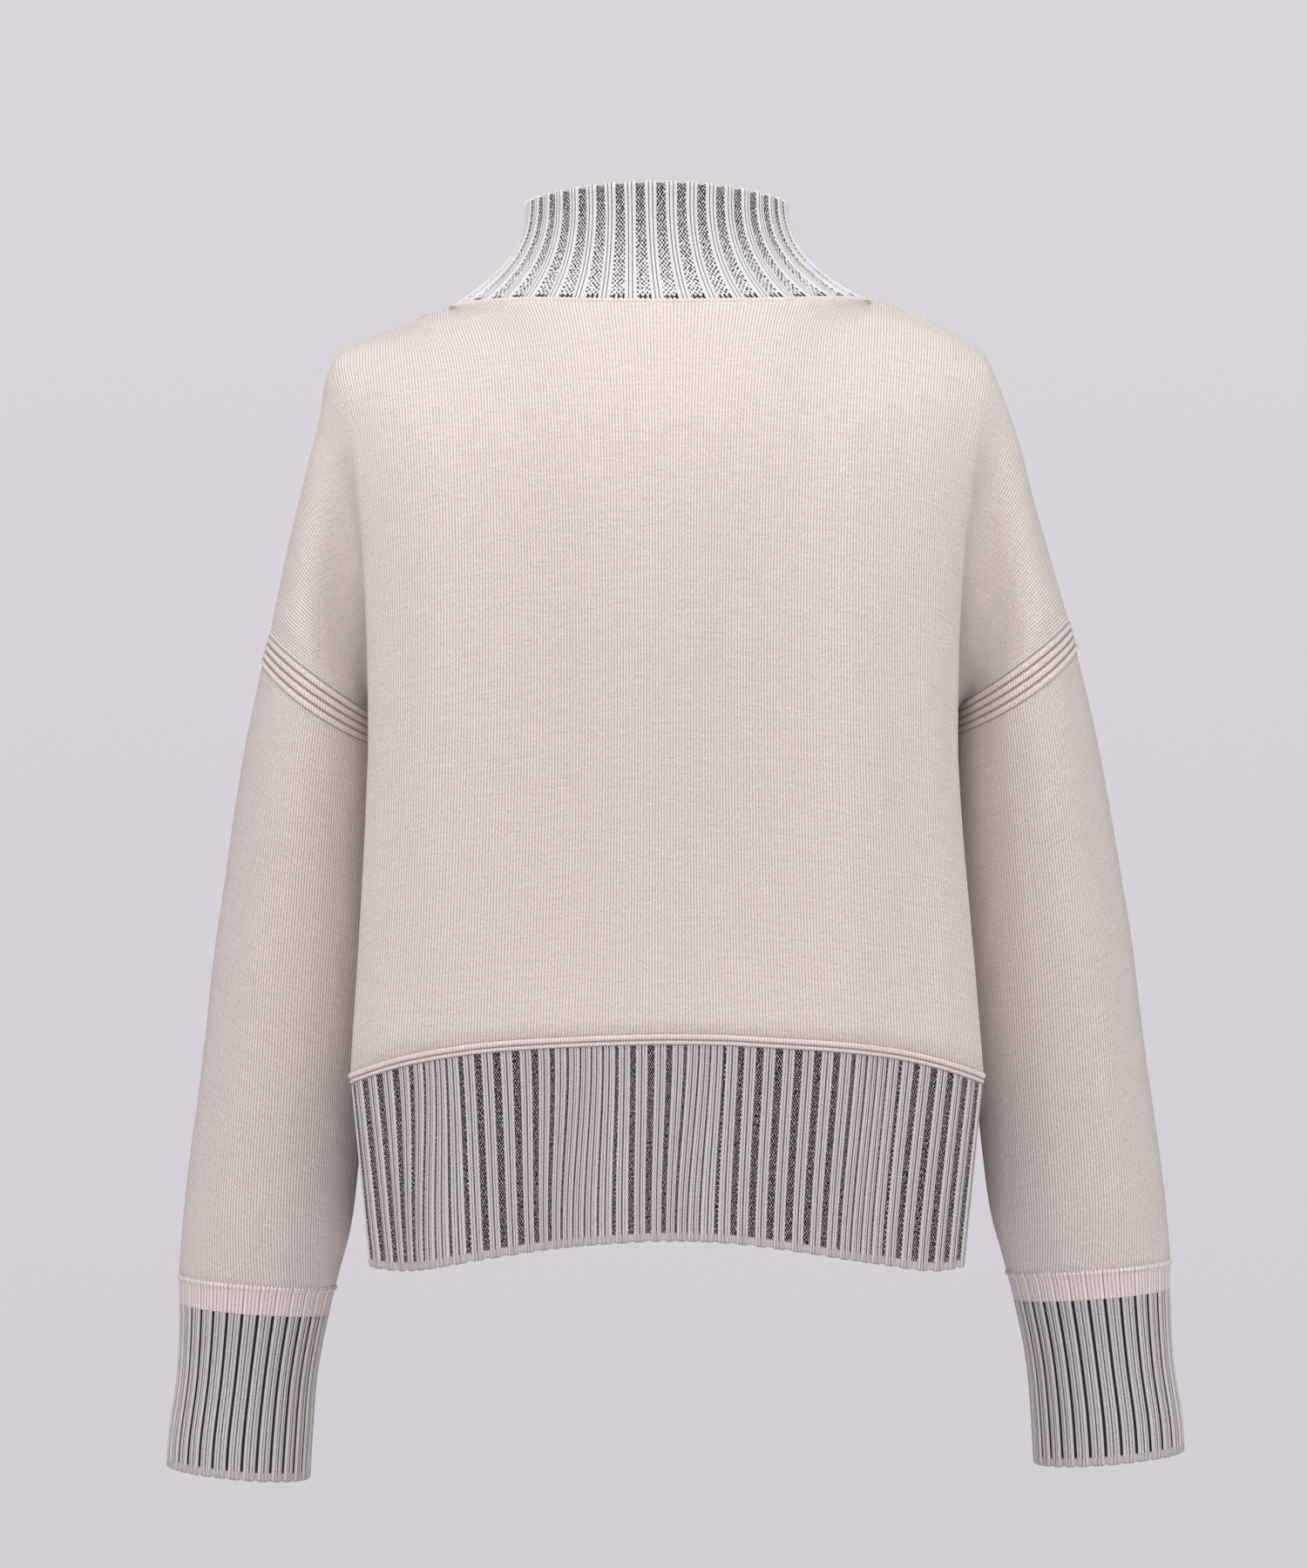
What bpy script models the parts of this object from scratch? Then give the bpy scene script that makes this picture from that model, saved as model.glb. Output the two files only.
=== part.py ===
"""Cropped knit sweater: funnel collar, dropped shoulders, deep two-tone ribbed borders.

The sweater keeps the hollow form it has when worn on a general figure with its arms hanging.
Every cut piece is a closed wall of cloth of its own. Units are metres and +Z is up. The front
faces -Y and the wearer's left is +X. The origin is in the middle of the neck, at the height
where the collar meets the shoulders.
"""
import bpy
import numpy as np


def table(names, *rows):
    """A short table: one array for each named column."""
    return dict(zip(names.split(), np.array(rows, float).T))


# Cloth
KNIT_THICKNESS = 0.0024
RIB_VALLEY_THICKNESS = 0.0020
RIB_HEIGHT = 0.0016
SEAM_GAP = 0.0003
NORMAL_STEP = 0.002
NORMAL_SHARE = 0.02

# Counts that the knitter sets
COLLAR_RIBS = 40
HEM_RIBS = 116
CUFF_RIBS = 30
ARMHOLE_RIDGES = 4

# Neck
NECK_HALF_WIDTH = 0.122
NECK_BACK_Y = 0.076
NECK_FRONT_Y = -0.080
NECK_SIDE_Z = -0.001
NECK_BACK_Z = -0.008
NECK_FRONT_Z = -0.045
RIM_CENTRE_X = 0.006
RIM_HALF_WIDTH = 0.079
RIM_BACK_Y = 0.056
RIM_FRONT_Y = -0.062
RIM_SIDE_Z = 0.058
RIM_BACK_Z = 0.065
RIM_FRONT_Z = 0.036
COLLAR_FLARE = 2.5
COLLAR_SEAM_SHARE = 0.035
COLLAR_SEAM_PROFILE = table(
    "share height",
    (1.0, -0.0004),
    (0.7, 0.0012),
    (0.3, 0.0012),
    (0.0, -0.0004),
)
COLLAR_RING_HEIGHTS = (1.0, 0.55, 0.22, 0.0)
COLLAR_RIB = table("phase raised", (0.0, 0.0), (0.42, 0.0), (0.54, 1.0), (0.88, 1.0))

# Borders
WELT_HEIGHT = 0.0068
WELT_RIDGE = 0.0014
ARMHOLE_BAND_WIDTH = 0.0176
ARMHOLE_RIDGE_HEIGHT = 0.0014
UNDERARM_FLATTENING = 0.7
CUFF_BAND_HEIGHT = 0.0175
CUFF_BAND_RIDGE = 0.0012
HEM_RIB_CREST = 0.0062
HEM_CREST_MOST = 0.84
HEM_CLOSING = 0.40
CLOSING_DEPTH = 0.04
CUFF_VALLEY = 0.48

# Grid of each panel. Wales are flat distances from the centre line, levels run 0 to 7 from the
# shoulder seam to the welt, and the armhole ends at the underarm level.
MID_WALE = 0.059
NECK_WALE = 0.115
BLADE_WALE = 0.165
CORNER_WALE = 0.190
FOLD_WALE = 0.220
ARM_WALE = 0.265
SIDE_WALE = 0.320
UNDERARM_LEVEL = 5.0
HEM_LEVEL = 7.0
NECK_STEPS = 5
ROWS_TO_UNDERARM = 12
LEVELS_BELOW_UNDERARM = (5.14, 5.6, 6.3, 7.0)
NECKLINE_FADE_LEVEL = 1.6
UNDERARM_COLUMNS = 4
UNDERARM_PASSES = 3

# Key wales: where each one runs, level by level. The outer ones are shared by back and front.
LEVELS = np.arange(8.0)
CENTRE_BACK = table(
    "x y z",
    (0.0, 0.0760, -0.008),
    (0.0, 0.0930, -0.036),
    (0.0, 0.1100, -0.075),
    (0.0, 0.1215, -0.125),
    (0.0, 0.1275, -0.190),
    (0.0, 0.1280, -0.270),
    (0.0, 0.1270, -0.355),
    (0.0, 0.1300, -0.431),
)
CENTRE_FRONT = table(
    "x y z",
    (0.0, -0.0800, -0.045),
    (0.0, -0.0960, -0.068),
    (0.0, -0.1120, -0.102),
    (0.0, -0.1270, -0.148),
    (0.0, -0.1360, -0.208),
    (0.0, -0.1375, -0.282),
    (0.0, -0.1360, -0.362),
    (0.0, -0.1370, -0.441),
)
MID_BACK = table(
    "x y z",
    (0.0717, 0.0615, -0.0056),
    (0.0660, 0.0840, -0.028),
    (0.0620, 0.1040, -0.065),
    (0.0600, 0.1180, -0.118),
    (0.0590, 0.1245, -0.185),
    (0.0590, 0.1255, -0.266),
    (0.0600, 0.1250, -0.352),
    (0.0620, 0.1270, -0.4335),
)
MID_FRONT = table(
    "x y z",
    (0.0717, -0.0647, -0.0298),
    (0.0670, -0.0850, -0.052),
    (0.0630, -0.1035, -0.090),
    (0.0600, -0.1205, -0.140),
    (0.0590, -0.1325, -0.203),
    (0.0590, -0.1345, -0.279),
    (0.0600, -0.1335, -0.360),
    (0.0620, -0.1340, -0.443),
)
NECK_LINE = table(
    "x y z",
    (0.1220, 0.000, -0.001),
    (0.1205, 0.036, -0.013),
    (0.1180, 0.073, -0.041),
    (0.1150, 0.099, -0.090),
    (0.1130, 0.113, -0.160),
    (0.1130, 0.1185, -0.250),
    (0.1150, 0.119, -0.345),
    (0.1180, 0.119, -0.438),
)
BLADE_LINE = table(
    "x y z",
    (0.1650, 0.000, -0.0170),
    (0.1660, 0.035, -0.030),
    (0.1630, 0.067, -0.058),
    (0.1590, 0.089, -0.105),
    (0.1560, 0.1005, -0.172),
    (0.1555, 0.106, -0.258),
    (0.1580, 0.107, -0.352),
    (0.1630, 0.106, -0.448),
)
CORNER_LINE = table(
    "x y z",
    (0.1880, 0.000, -0.0300),
    (0.1880, 0.033, -0.042),
    (0.1840, 0.060, -0.071),
    (0.1790, 0.077, -0.116),
    (0.1745, 0.085, -0.182),
    (0.1730, 0.089, -0.265),
    (0.1770, 0.090, -0.358),
    (0.1830, 0.088, -0.4556),
)
FOLD_LINE = table(
    "x y z",
    (0.2002, 0.000, -0.0625),
    (0.2035, 0.030, -0.075),
    (0.1980, 0.052, -0.099),
    (0.1860, 0.060, -0.135),
    (0.1725, 0.058, -0.195),
    (0.1640, 0.053, -0.269),
    (0.1660, 0.053, -0.361),
    (0.1740, 0.053, -0.459),
)
ARM_LINE = table(
    "x y z",
    (0.2205, 0.000, -0.125),
    (0.2185, 0.031, -0.135),
    (0.2110, 0.052, -0.152),
    (0.1960, 0.058, -0.178),
    (0.1770, 0.050, -0.220),
    (0.1600, 0.034, -0.278),
    (0.1620, 0.030, -0.359),
    (0.1690, 0.028, -0.462),
)
SIDE_SEAM = table(
    "level x z",
    (5.0, 0.1700, -0.250),
    (5.14, 0.1605, -0.256),
    (5.6, 0.1580, -0.304),
    (6.0, 0.1600, -0.359),
    (7.0, 0.1680, -0.463),
)
KEY_WALES = (0.0, MID_WALE, NECK_WALE, BLADE_WALE, CORNER_WALE, FOLD_WALE, ARM_WALE, SIDE_WALE)
FRONT_DEPTH = 1.06

# Soft vertical folds: where each lies at the top and at the hem, and how far it stands out.
BACK_FOLDS = table(
    "x_top x_hem height width",
    (0.150, 0.150, -0.0050, 0.020),
    (0.105, 0.127, 0.0045, 0.020),
    (0.068, 0.068, -0.0060, 0.026),
    (0.015, 0.015, 0.0040, 0.024),
    (-0.042, -0.042, -0.0050, 0.026),
    (-0.090, -0.108, 0.0050, 0.020),
    (-0.137, -0.137, -0.0050, 0.020),
)
FRONT_FOLDS = table(
    "x_top x_hem height width",
    (0.140, 0.148, -0.0045, 0.020),
    (0.100, 0.110, 0.0045, 0.022),
    (0.052, 0.060, -0.0050, 0.026),
    (-0.004, -0.006, 0.0035, 0.026),
    (-0.060, -0.070, -0.0055, 0.024),
    (-0.102, -0.120, 0.0045, 0.020),
    (-0.146, -0.152, -0.0040, 0.018),
)
FOLD_START_LEVEL = 2.2
FOLD_FULL_LEVEL = 7.0
FOLD_FADE_WALE = 0.172
FOLD_END_WALE = 0.192

# Places round the hem where the ribs are drawn together, as x on the back and on the front.
BACK_CLOSINGS = table(
    "x width",
    (0.133, 0.013),
    (0.045, 0.020),
    (-0.022, 0.014),
    (-0.122, 0.015),
)
FRONT_CLOSINGS = table(
    "x width",
    (0.120, 0.015),
    (0.030, 0.018),
    (-0.040, 0.018),
    (-0.128, 0.014),
)

# The sleeve as a tube: outer and inner x, half depth and middle y by height.
SLEEVE = table(
    "z outer inner half_depth middle_y",
    (-0.1600, 0.2285, 0.1700, 0.0600, 0.000),
    (-0.1900, 0.2345, 0.1700, 0.0610, 0.000),
    (-0.2170, 0.2408, 0.1700, 0.0620, 0.000),
    (-0.2680, 0.2516, 0.1700, 0.0625, 0.000),
    (-0.3090, 0.2584, 0.1702, 0.0620, -0.002),
    (-0.3510, 0.2646, 0.1712, 0.0610, -0.006),
    (-0.3930, 0.2709, 0.1735, 0.0595, -0.009),
    (-0.4340, 0.2755, 0.1772, 0.0575, -0.012),
    (-0.4760, 0.2807, 0.1810, 0.0550, -0.015),
    (-0.5170, 0.2865, 0.1848, 0.0520, -0.018),
    (-0.5590, 0.2910, 0.1905, 0.0480, -0.0205),
    (-0.5830, 0.2927, 0.1970, 0.0440, -0.022),
    (-0.6070, 0.2927, 0.2028, 0.0395, -0.023),
    (-0.6420, 0.2943, 0.2096, 0.0375, -0.025),
    (-0.6840, 0.3000, 0.2130, 0.0385, -0.0265),
    (-0.7200, 0.3015, 0.2150, 0.0400, -0.0275),
)
SLEEVE_STEPS = 10
ARMHOLE_TOP_Z = -0.1997
ARMHOLE_UNDERARM_Z = -0.250
ARMHOLE_SLOPE = 0.73
CUFF_BAND_TOP_Z = -0.586
CUFF_TILT = 0.0035
CUFF_RIB_BOTTOM_Z = -0.7012
CUFF_BOTTOM_TILT = 0.004

# The two sides don't hang quite alike: how far out and how high each sleeve is, at the armhole
# and at the cuff, how much wider it is to each side of its middle below the armhole, and how far
# in the body's corner stands beside it.
ARMS = {
    "left": {
        "sign": 1.0,
        "out_top": 0.0,
        "out_cuff": 0.0,
        "lift_top": 0.0,
        "lift_cuff": 0.0,
        "wider": 0.0,
        "corner_in": 0.0,
    },
    "right": {
        "sign": -1.0,
        "out_top": 0.0030,
        "out_cuff": 0.0078,
        "lift_top": 0.0085,
        "lift_cuff": 0.0090,
        "wider": 0.0022,
        "corner_in": 0.0045,
    },
}

# Sections of the borders, from top to bottom: share of the height, and height in ridges
WELT_PROFILE = table(
    "share height",
    (0.00, 0.0),
    (0.12, 1.0),
    (0.48, 1.0),
    (0.62, 0.0),
    (0.78, 0.6),
    (1.00, 0.0),
)
CUFF_BAND_PROFILE = table(
    "share height",
    (0.00, 0.0),
    (0.06, 1.0),
    (0.16, 1.0),
    (0.24, 0.0),
    (1.00, 0.0),
)

# Hem band
HEM_BOTTOM = table(
    "wale x y z",
    (0.000, 0.000, 0.126, -0.5495),
    (0.115, 0.112, 0.115, -0.5620),
    (0.165, 0.155, 0.101, -0.5695),
    (0.190, 0.172, 0.084, -0.5685),
    (0.220, 0.171, 0.052, -0.5680),
    (0.265, 0.169, 0.027, -0.5695),
    (0.320, 0.168, 0.000, -0.5705),
)
HEM_FRONT_LIFT = -0.004
HEM_ROWS = 2

CREAM = (0.79, 0.70, 0.62, 1.0)
CREAM_EDGE = (0.76, 0.68, 0.61, 1.0)
PALE_GREY = (0.66, 0.63, 0.63, 1.0)
RIB_GREY = (0.34, 0.31, 0.32, 1.0)


# ---------------------------------------------------------------------------- curves and grids

def smooth(knots, points, where):
    """A smooth curve through points, one at each knot, read at every place in where."""
    knots = np.asarray(knots, float)
    points = np.asarray(points, float)
    where = np.asarray(where, float)
    slopes = np.gradient(points, knots, axis=0)
    cell = np.clip(np.searchsorted(knots, where, side="right") - 1, 0, len(knots) - 2)
    span = knots[cell + 1] - knots[cell]
    t = (where - knots[cell]) / span
    if points.ndim > 1:
        t = t[..., None]
        span = span[..., None]
    start = (1 + 2 * t) * (1 - t) ** 2 * points[cell] + t * (1 - t) ** 2 * span * slopes[cell]
    end = t * t * (3 - 2 * t) * points[cell + 1] - t * t * (1 - t) * span * slopes[cell + 1]
    return start + end


def ease(low, high, value):
    """0 below low, 1 above high and a soft step between."""
    t = np.clip((value - low) / (high - low), 0, 1)
    return t * t * (3 - 2 * t)


def unit(vectors):
    return vectors / np.linalg.norm(vectors, axis=-1, keepdims=True)


def turn(quarters):
    """Sine and cosine of an angle given in quarter turns."""
    angle = np.asarray(quarters, float) * np.pi / 2
    return np.sin(angle), np.cos(angle)


def grid_normals(points, closed):
    """Normals of a grid of points; rows run down and columns run round. Closed grids wrap."""
    down = np.gradient(points, axis=0)
    if closed:
        across = np.roll(points, -1, axis=1) - np.roll(points, 1, axis=1)
    else:
        across = np.gradient(points, axis=1)
    return unit(np.cross(across, down))


# ---------------------------------------------------------------------------------- sleeve tube

def sleeve_point(arm, angle, height):
    """A point of the sleeve's outer face. Angle 0 is over the arm, a quarter turn is its back."""
    reach = np.clip((SLEEVE["z"][1] - height) / (SLEEVE["z"][1] - CUFF_BAND_TOP_Z), 0, 1.2)
    lift = arm["lift_top"] + (arm["lift_cuff"] - arm["lift_top"]) * reach
    out = arm["out_top"] + (arm["out_cuff"] - arm["out_top"]) * reach
    drop = -(height - lift)
    outer = smooth(-SLEEVE["z"], SLEEVE["outer"], drop)
    inner = smooth(-SLEEVE["z"], SLEEVE["inner"], drop)
    half_depth = smooth(-SLEEVE["z"], SLEEVE["half_depth"], drop)
    middle_y = smooth(-SLEEVE["z"], SLEEVE["middle_y"], drop)
    middle = (outer + inner) / 2
    half = (outer - inner) / 2 + arm["wider"] * ease(0.0, 0.5, reach)
    x = arm["sign"] * (middle + half * np.cos(angle) + out)
    y = middle_y + half_depth * np.sin(angle)
    return np.stack([x, y, height + 0 * x], axis=-1)


def armhole_height(arm, angle):
    """Height of the seam between the panels and the armhole band, round the arm."""
    middle = (ARMHOLE_TOP_Z + ARMHOLE_UNDERARM_Z) / 2
    half = (ARMHOLE_TOP_Z - ARMHOLE_UNDERARM_Z) / 2
    return middle + half * np.cos(angle) + arm["lift_top"]


def band_drop(angle):
    """How far down the sleeve the armhole band reaches, measured along Z."""
    return ARMHOLE_BAND_WIDTH * np.sqrt(1 + (ARMHOLE_SLOPE * np.sin(angle)) ** 2)


def cuff_height(arm, angle, height, tilt):
    return height + arm["lift_cuff"] + tilt * np.cos(angle)


def arm_angles():
    return np.arange(2 * ROWS_TO_UNDERARM) * np.pi / ROWS_TO_UNDERARM


# --------------------------------------------------------------------------------------- panels

def panel_wales():
    """Flat distance of each column of a half panel from the centre line."""
    quarters = np.linspace(0, 1, NECK_STEPS + 1)
    sine, _ = turn(quarters)
    neck = NECK_WALE * (0.6 * sine + 0.4 * quarters)
    shoulder = np.linspace(NECK_WALE, CORNER_WALE, 5)[1:]
    fold = np.linspace(CORNER_WALE, FOLD_WALE, 4)[1:]
    back_of_arm = np.linspace(FOLD_WALE, ARM_WALE, 4)[1:]
    armhole = np.linspace(ARM_WALE, SIDE_WALE, 5)[1:]
    return np.concatenate([neck, shoulder, fold, back_of_arm, armhole])


def panel_levels():
    upper = np.linspace(0, UNDERARM_LEVEL, ROWS_TO_UNDERARM + 1)
    return np.concatenate([upper, LEVELS_BELOW_UNDERARM])


def line(wale_table, levels):
    points = np.stack([wale_table[name] for name in "xyz"], axis=-1)
    return smooth(LEVELS, points, levels)


def neckline(front, quarters):
    """Outer edge of the neck opening, from the centre (0) to the shoulder (1 quarter)."""
    sine, cosine = turn(quarters)
    y = NECK_FRONT_Y if front else NECK_BACK_Y
    z = NECK_FRONT_Z if front else NECK_BACK_Z
    height = NECK_SIDE_Z + (z - NECK_SIDE_Z) * cosine ** 2
    return np.stack([NECK_HALF_WIDTH * sine, y * cosine, height], axis=-1)


def half_panel(front, arm):
    """Grid of a half panel's outer face, for the +X side, from the centre line to the side."""
    levels = panel_levels()
    wales = panel_wales()
    middle = (CENTRE_FRONT, MID_FRONT) if front else (CENTRE_BACK, MID_BACK)
    keys = [line(wale_table, levels) for wale_table in middle]
    corner_in = arm["corner_in"] * ease(1.0, 4.0, levels) * ease(7.0, 5.0, levels)
    shares = ((NECK_LINE, 0.0), (BLADE_LINE, 0.4), (CORNER_LINE, 1.0), (FOLD_LINE, 1.0), (ARM_LINE, 0.4))
    for wale_table, share in shares:
        points = line(wale_table, levels)
        points[:, 0] -= share * corner_in
        if front:
            points[:, 1] *= -FRONT_DEPTH
        keys.append(points)
    keys.append(side_line(front, arm, levels))
    mirrored = keys[1] * (-1, 1, 1)
    knots = (-MID_WALE,) + KEY_WALES
    rows = np.stack([smooth(knots, np.stack(row), wales) for row in zip(mirrored, *keys)])
    neck_columns = slice(0, NECK_STEPS + 1)
    wanted = neckline(front, np.linspace(0, 1, NECK_STEPS + 1))
    fade = np.clip(1 - levels / NECKLINE_FADE_LEVEL, 0, 1) ** 2
    rows[:, neck_columns] += fade[:, None, None] * (wanted - rows[0, neck_columns])
    rows[0, NECK_STEPS:, 1] = 0
    return settle_underarm(rows)


def settle_underarm(rows):
    """Even out the cloth between the fold, the armhole and the side, where it turns under the arm."""
    near = slice(ROWS_TO_UNDERARM - 2, ROWS_TO_UNDERARM + 2)
    columns = slice(rows.shape[1] - 1 - UNDERARM_COLUMNS, rows.shape[1] - 1)
    for _ in range(UNDERARM_PASSES):
        around = np.zeros_like(rows)
        around[1:-1, 1:-1] = (rows[:-2, 1:-1] + rows[2:, 1:-1] + rows[1:-1, :-2] + rows[1:-1, 2:]) / 4
        rows[near, columns] = (rows[near, columns] + around[near, columns]) / 2
    return rows


def side_line(front, arm, levels):
    """The outermost wale: round the armhole to the underarm, then down the side seam."""
    angle = np.pi * np.clip(levels / UNDERARM_LEVEL, 0, 1)
    loop = sleeve_point({**arm, "sign": 1.0}, -angle if front else angle, armhole_height(arm, angle))
    seam = smooth(SIDE_SEAM["level"], np.stack([SIDE_SEAM["x"], 0 * SIDE_SEAM["x"], SIDE_SEAM["z"]], -1),
                  np.maximum(levels, UNDERARM_LEVEL))
    seam[:, 0] += (loop[-1, 0] - SIDE_SEAM["x"][0]) * ease(HEM_LEVEL, UNDERARM_LEVEL, levels)
    return np.where(levels[:, None] <= UNDERARM_LEVEL, loop, seam)


def fold_depth(folds, x, level):
    """How far the soft vertical folds move the cloth outward, by column and level."""
    reach = ease(FOLD_START_LEVEL, FOLD_FULL_LEVEL, level)
    half = panel_wales()
    wale = np.concatenate([half[:0:-1], half])
    reach = reach * ease(FOLD_END_WALE, FOLD_FADE_WALE, wale)
    total = np.zeros_like(x)
    for top, hem, height, width in zip(*folds.values()):
        centre = top + (hem - top) * ease(FOLD_START_LEVEL, FOLD_FULL_LEVEL, level)
        total += height * np.exp(-((x - centre) / width) ** 2)
    return total * reach


def panel_grid(front):
    """Grid of a whole panel's outer face, with columns from the right side to the left."""
    left = half_panel(front, ARMS["left"])
    right = half_panel(front, ARMS["right"]) * (-1, 1, 1)
    grid = np.concatenate([right[:, :0:-1], left], axis=1)
    levels = panel_levels()[:, None]
    folds = FRONT_FOLDS if front else BACK_FOLDS
    grid[..., 1] += (-1 if front else 1) * fold_depth(folds, grid[..., 0], levels)
    return grid


def armhole_columns(column):
    """Row slice of a panel's edge that lies on the armhole."""
    return slice(0, ROWS_TO_UNDERARM + 1), column


def level_normals(normals):
    """The same normals without their height, for edges that part along Z."""
    return unit(normals * (1, 1, 0))


def share_seam_normals(back, front, bands, collar):
    """Give cloth that meets at a seam one common normal, so that its walls part evenly."""
    half = back.shape[1] // 2
    for k in range(NECK_STEPS + 1):
        opposite = 2 * NECK_STEPS
        places = ((back, half + k, -k), (back, half - k, k), (front, half + k, opposite + k),
                  (front, half - k, opposite - k))
        for panel, column, place in places:
            place = place % len(collar)
            collar[place] = unit(collar[place] + panel[0, column])
        for panel, column, place in places:
            panel[0, column] = collar[place % len(collar)]
    shoulder = np.abs(np.arange(back.shape[1]) - half) > NECK_STEPS
    back[0, shoulder] = front[0, shoulder] = unit(back[0, shoulder] + front[0, shoulder])
    for column in (0, -1):
        below = slice(ROWS_TO_UNDERARM, None)
        back[below, column] = front[below, column] = unit(back[below, column] + front[below, column])
    for name, column in (("left", -1), ("right", 0)):
        loop = np.concatenate([back[armhole_columns(column)], front[armhole_columns(column)][-2:0:-1]])
        shared = unit(unit(loop) + bands[name])
        back[armhole_columns(column)] = shared[:ROWS_TO_UNDERARM + 1]
        front[armhole_columns(column)] = np.roll(shared[::-1], 1, axis=0)[:ROWS_TO_UNDERARM + 1]
        bands[name] = shared
    back[-1] = level_normals(back[-1])
    front[-1] = level_normals(front[-1])


def seam_side(loop, normals):
    """Direction across a closed seam, in the cloth, to the right of its run seen from outside."""
    along = np.roll(loop, -1, axis=0) - np.roll(loop, 1, axis=0)
    return unit(np.cross(along, normals))


def draw_back_edges(grid, front, band_normals, collar_normals):
    """Move a panel's edges half a seam gap into the panel, all round."""
    half_gap = SEAM_GAP / 2
    half = grid.shape[1] // 2
    moved = grid.copy()
    moved[-1, :, 2] += half_gap
    away = 1 if front else -1
    neck_loop = collar_rings((0.0,))[0]
    neck_side = seam_side(neck_loop, collar_normals)
    for k in range(-NECK_STEPS, NECK_STEPS + 1):
        place = (2 * NECK_STEPS + k if front else -k) % len(neck_loop)
        moved[0, half + k] += half_gap * neck_side[place]
    shoulder = np.abs(np.arange(grid.shape[1]) - half) >= NECK_STEPS
    moved[0, shoulder, 1] -= away * half_gap
    for side, column in (("left", -1), ("right", 0)):
        arm = ARMS[side]
        angle = arm_angles()
        loop = sleeve_point(arm, angle, armhole_height(arm, angle))
        across = arm["sign"] * seam_side(loop, band_normals[side])
        order = (-np.arange(ROWS_TO_UNDERARM + 1) if front else np.arange(ROWS_TO_UNDERARM + 1)) % len(loop)
        moved[:ROWS_TO_UNDERARM + 1, column] -= half_gap * across[order]
        moved[ROWS_TO_UNDERARM:, column, 1] -= away * half_gap
    return moved


# ------------------------------------------------------------------------------------ the walls

def add_object(name, vertices, faces, material, collection):
    mesh = bpy.data.meshes.new(name)
    mesh.from_pydata([tuple(v) for v in vertices], [], faces)
    mesh.materials.append(material)
    mesh.shade_smooth()
    mesh.set_sharp_from_angle(angle=np.radians(50))
    obj = bpy.data.objects.new(name, mesh)
    collection.objects.link(obj)
    return obj


def grid_faces(rows, columns, start, closed, flip):
    """Triangles of a grid of vertices numbered from start, row by row, cut alike on both halves."""
    faces = []
    for row in range(rows - 1):
        for column in range(columns if closed else columns - 1):
            beside = (column + 1) % columns
            corners = [(row, column), (row, beside), (row + 1, beside), (row + 1, column)]
            if column < columns // 2:
                corners = corners[1:] + corners[:1]
            loop = [start + r * columns + c for r, c in corners]
            for face in (loop[:3], loop[2:] + loop[:1]):
                faces.append(face[::-1] if flip else face)
    return faces


def border_places(rows, columns):
    """Row and column of every point round the edge of a grid, once round from its first corner."""
    places = [(0, c) for c in range(columns)]
    places += [(r, columns - 1) for r in range(1, rows)]
    places += [(rows - 1, c) for c in range(columns - 2, -1, -1)]
    return places + [(r, 0) for r in range(rows - 2, 0, -1)]


def cut_forward(front, here, there, half):
    """Whether an edge face is cut from its first outer corner, as the piece that it meets is."""
    middle = (here[1] + there[1]) / 2
    if here[0] == there[0] == 0:
        return not front or abs(middle - half) > NECK_STEPS
    on_armhole = here[1] == there[1] and max(here[0], there[0]) <= ROWS_TO_UNDERARM
    on_side_seam = here[1] == there[1] and not on_armhole
    return front and not on_side_seam


def panel_wall(name, outer, inner, front, material, collection):
    """A closed wall between an outer and an inner grid of the same size, with its edges shut."""
    rows, columns = outer.shape[:2]
    count = rows * columns
    flip = not front
    faces = grid_faces(rows, columns, 0, False, not flip) + grid_faces(rows, columns, count, False, flip)
    border = border_places(rows, columns)
    for here, there in zip(border, border[1:] + border[:1]):
        a = here[0] * columns + here[1]
        b = there[0] * columns + there[1]
        if cut_forward(front, here, there, columns // 2):
            cuts = [[a, b, b + count], [a, b + count, a + count]]
        else:
            cuts = [[a, b, a + count], [b, b + count, a + count]]
        faces += [cut[::-1] if flip else cut for cut in cuts]
    vertices = np.concatenate([outer.reshape(-1, 3), inner.reshape(-1, 3)])
    return add_object(name, vertices, faces, material, collection)


def ring_wall(name, outer, inner, material, collection, pivot=None):
    """A closed tube wall. The inner rings may have fewer points than the outer, a whole share.

    The pivot is the outer point of each share that the end faces turn on.
    """
    outer_rows, outer_columns = outer.shape[:2]
    inner_rows, inner_columns = inner.shape[:2]
    share = outer_columns // inner_columns
    start = outer_rows * outer_columns
    faces = grid_faces(outer_rows, outer_columns, 0, True, True)
    faces += grid_faces(inner_rows, inner_columns, start, True, False)
    last_outer = (outer_rows - 1) * outer_columns
    last_inner = start + (inner_rows - 1) * inner_columns
    ends = ((0, start, False), (last_outer, last_inner, True))
    for outer_start, inner_start, flip in ends:
        for column in range(inner_columns):
            here = inner_start + column
            there = inner_start + (column + 1) % inner_columns
            around = [outer_start + (column * share + k) % outer_columns for k in range(share + 1)]
            middle = (share + 1) // 2 if pivot is None else pivot
            strips = [[a, b, here] for a, b in zip(around[:middle], around[1:middle + 1])]
            strips.append([around[middle], there, here])
            strips += [[a, b, there] for a, b in zip(around[middle:-1], around[middle + 1:])]
            faces += [s[::-1] if flip else s for s in strips]
    vertices = np.concatenate([outer.reshape(-1, 3), inner.reshape(-1, 3)])
    return add_object(name, vertices, faces, material, collection)


def material(name, colour, roughness):
    made = bpy.data.materials.new(name)
    made.use_nodes = True
    shader = made.node_tree.nodes["Principled BSDF"]
    shader.inputs["Base Color"].default_value = colour
    shader.inputs["Roughness"].default_value = roughness
    shader.inputs["Metallic"].default_value = 0.0
    return made


# ---------------------------------------------------------------------------------- cut pieces

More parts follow.
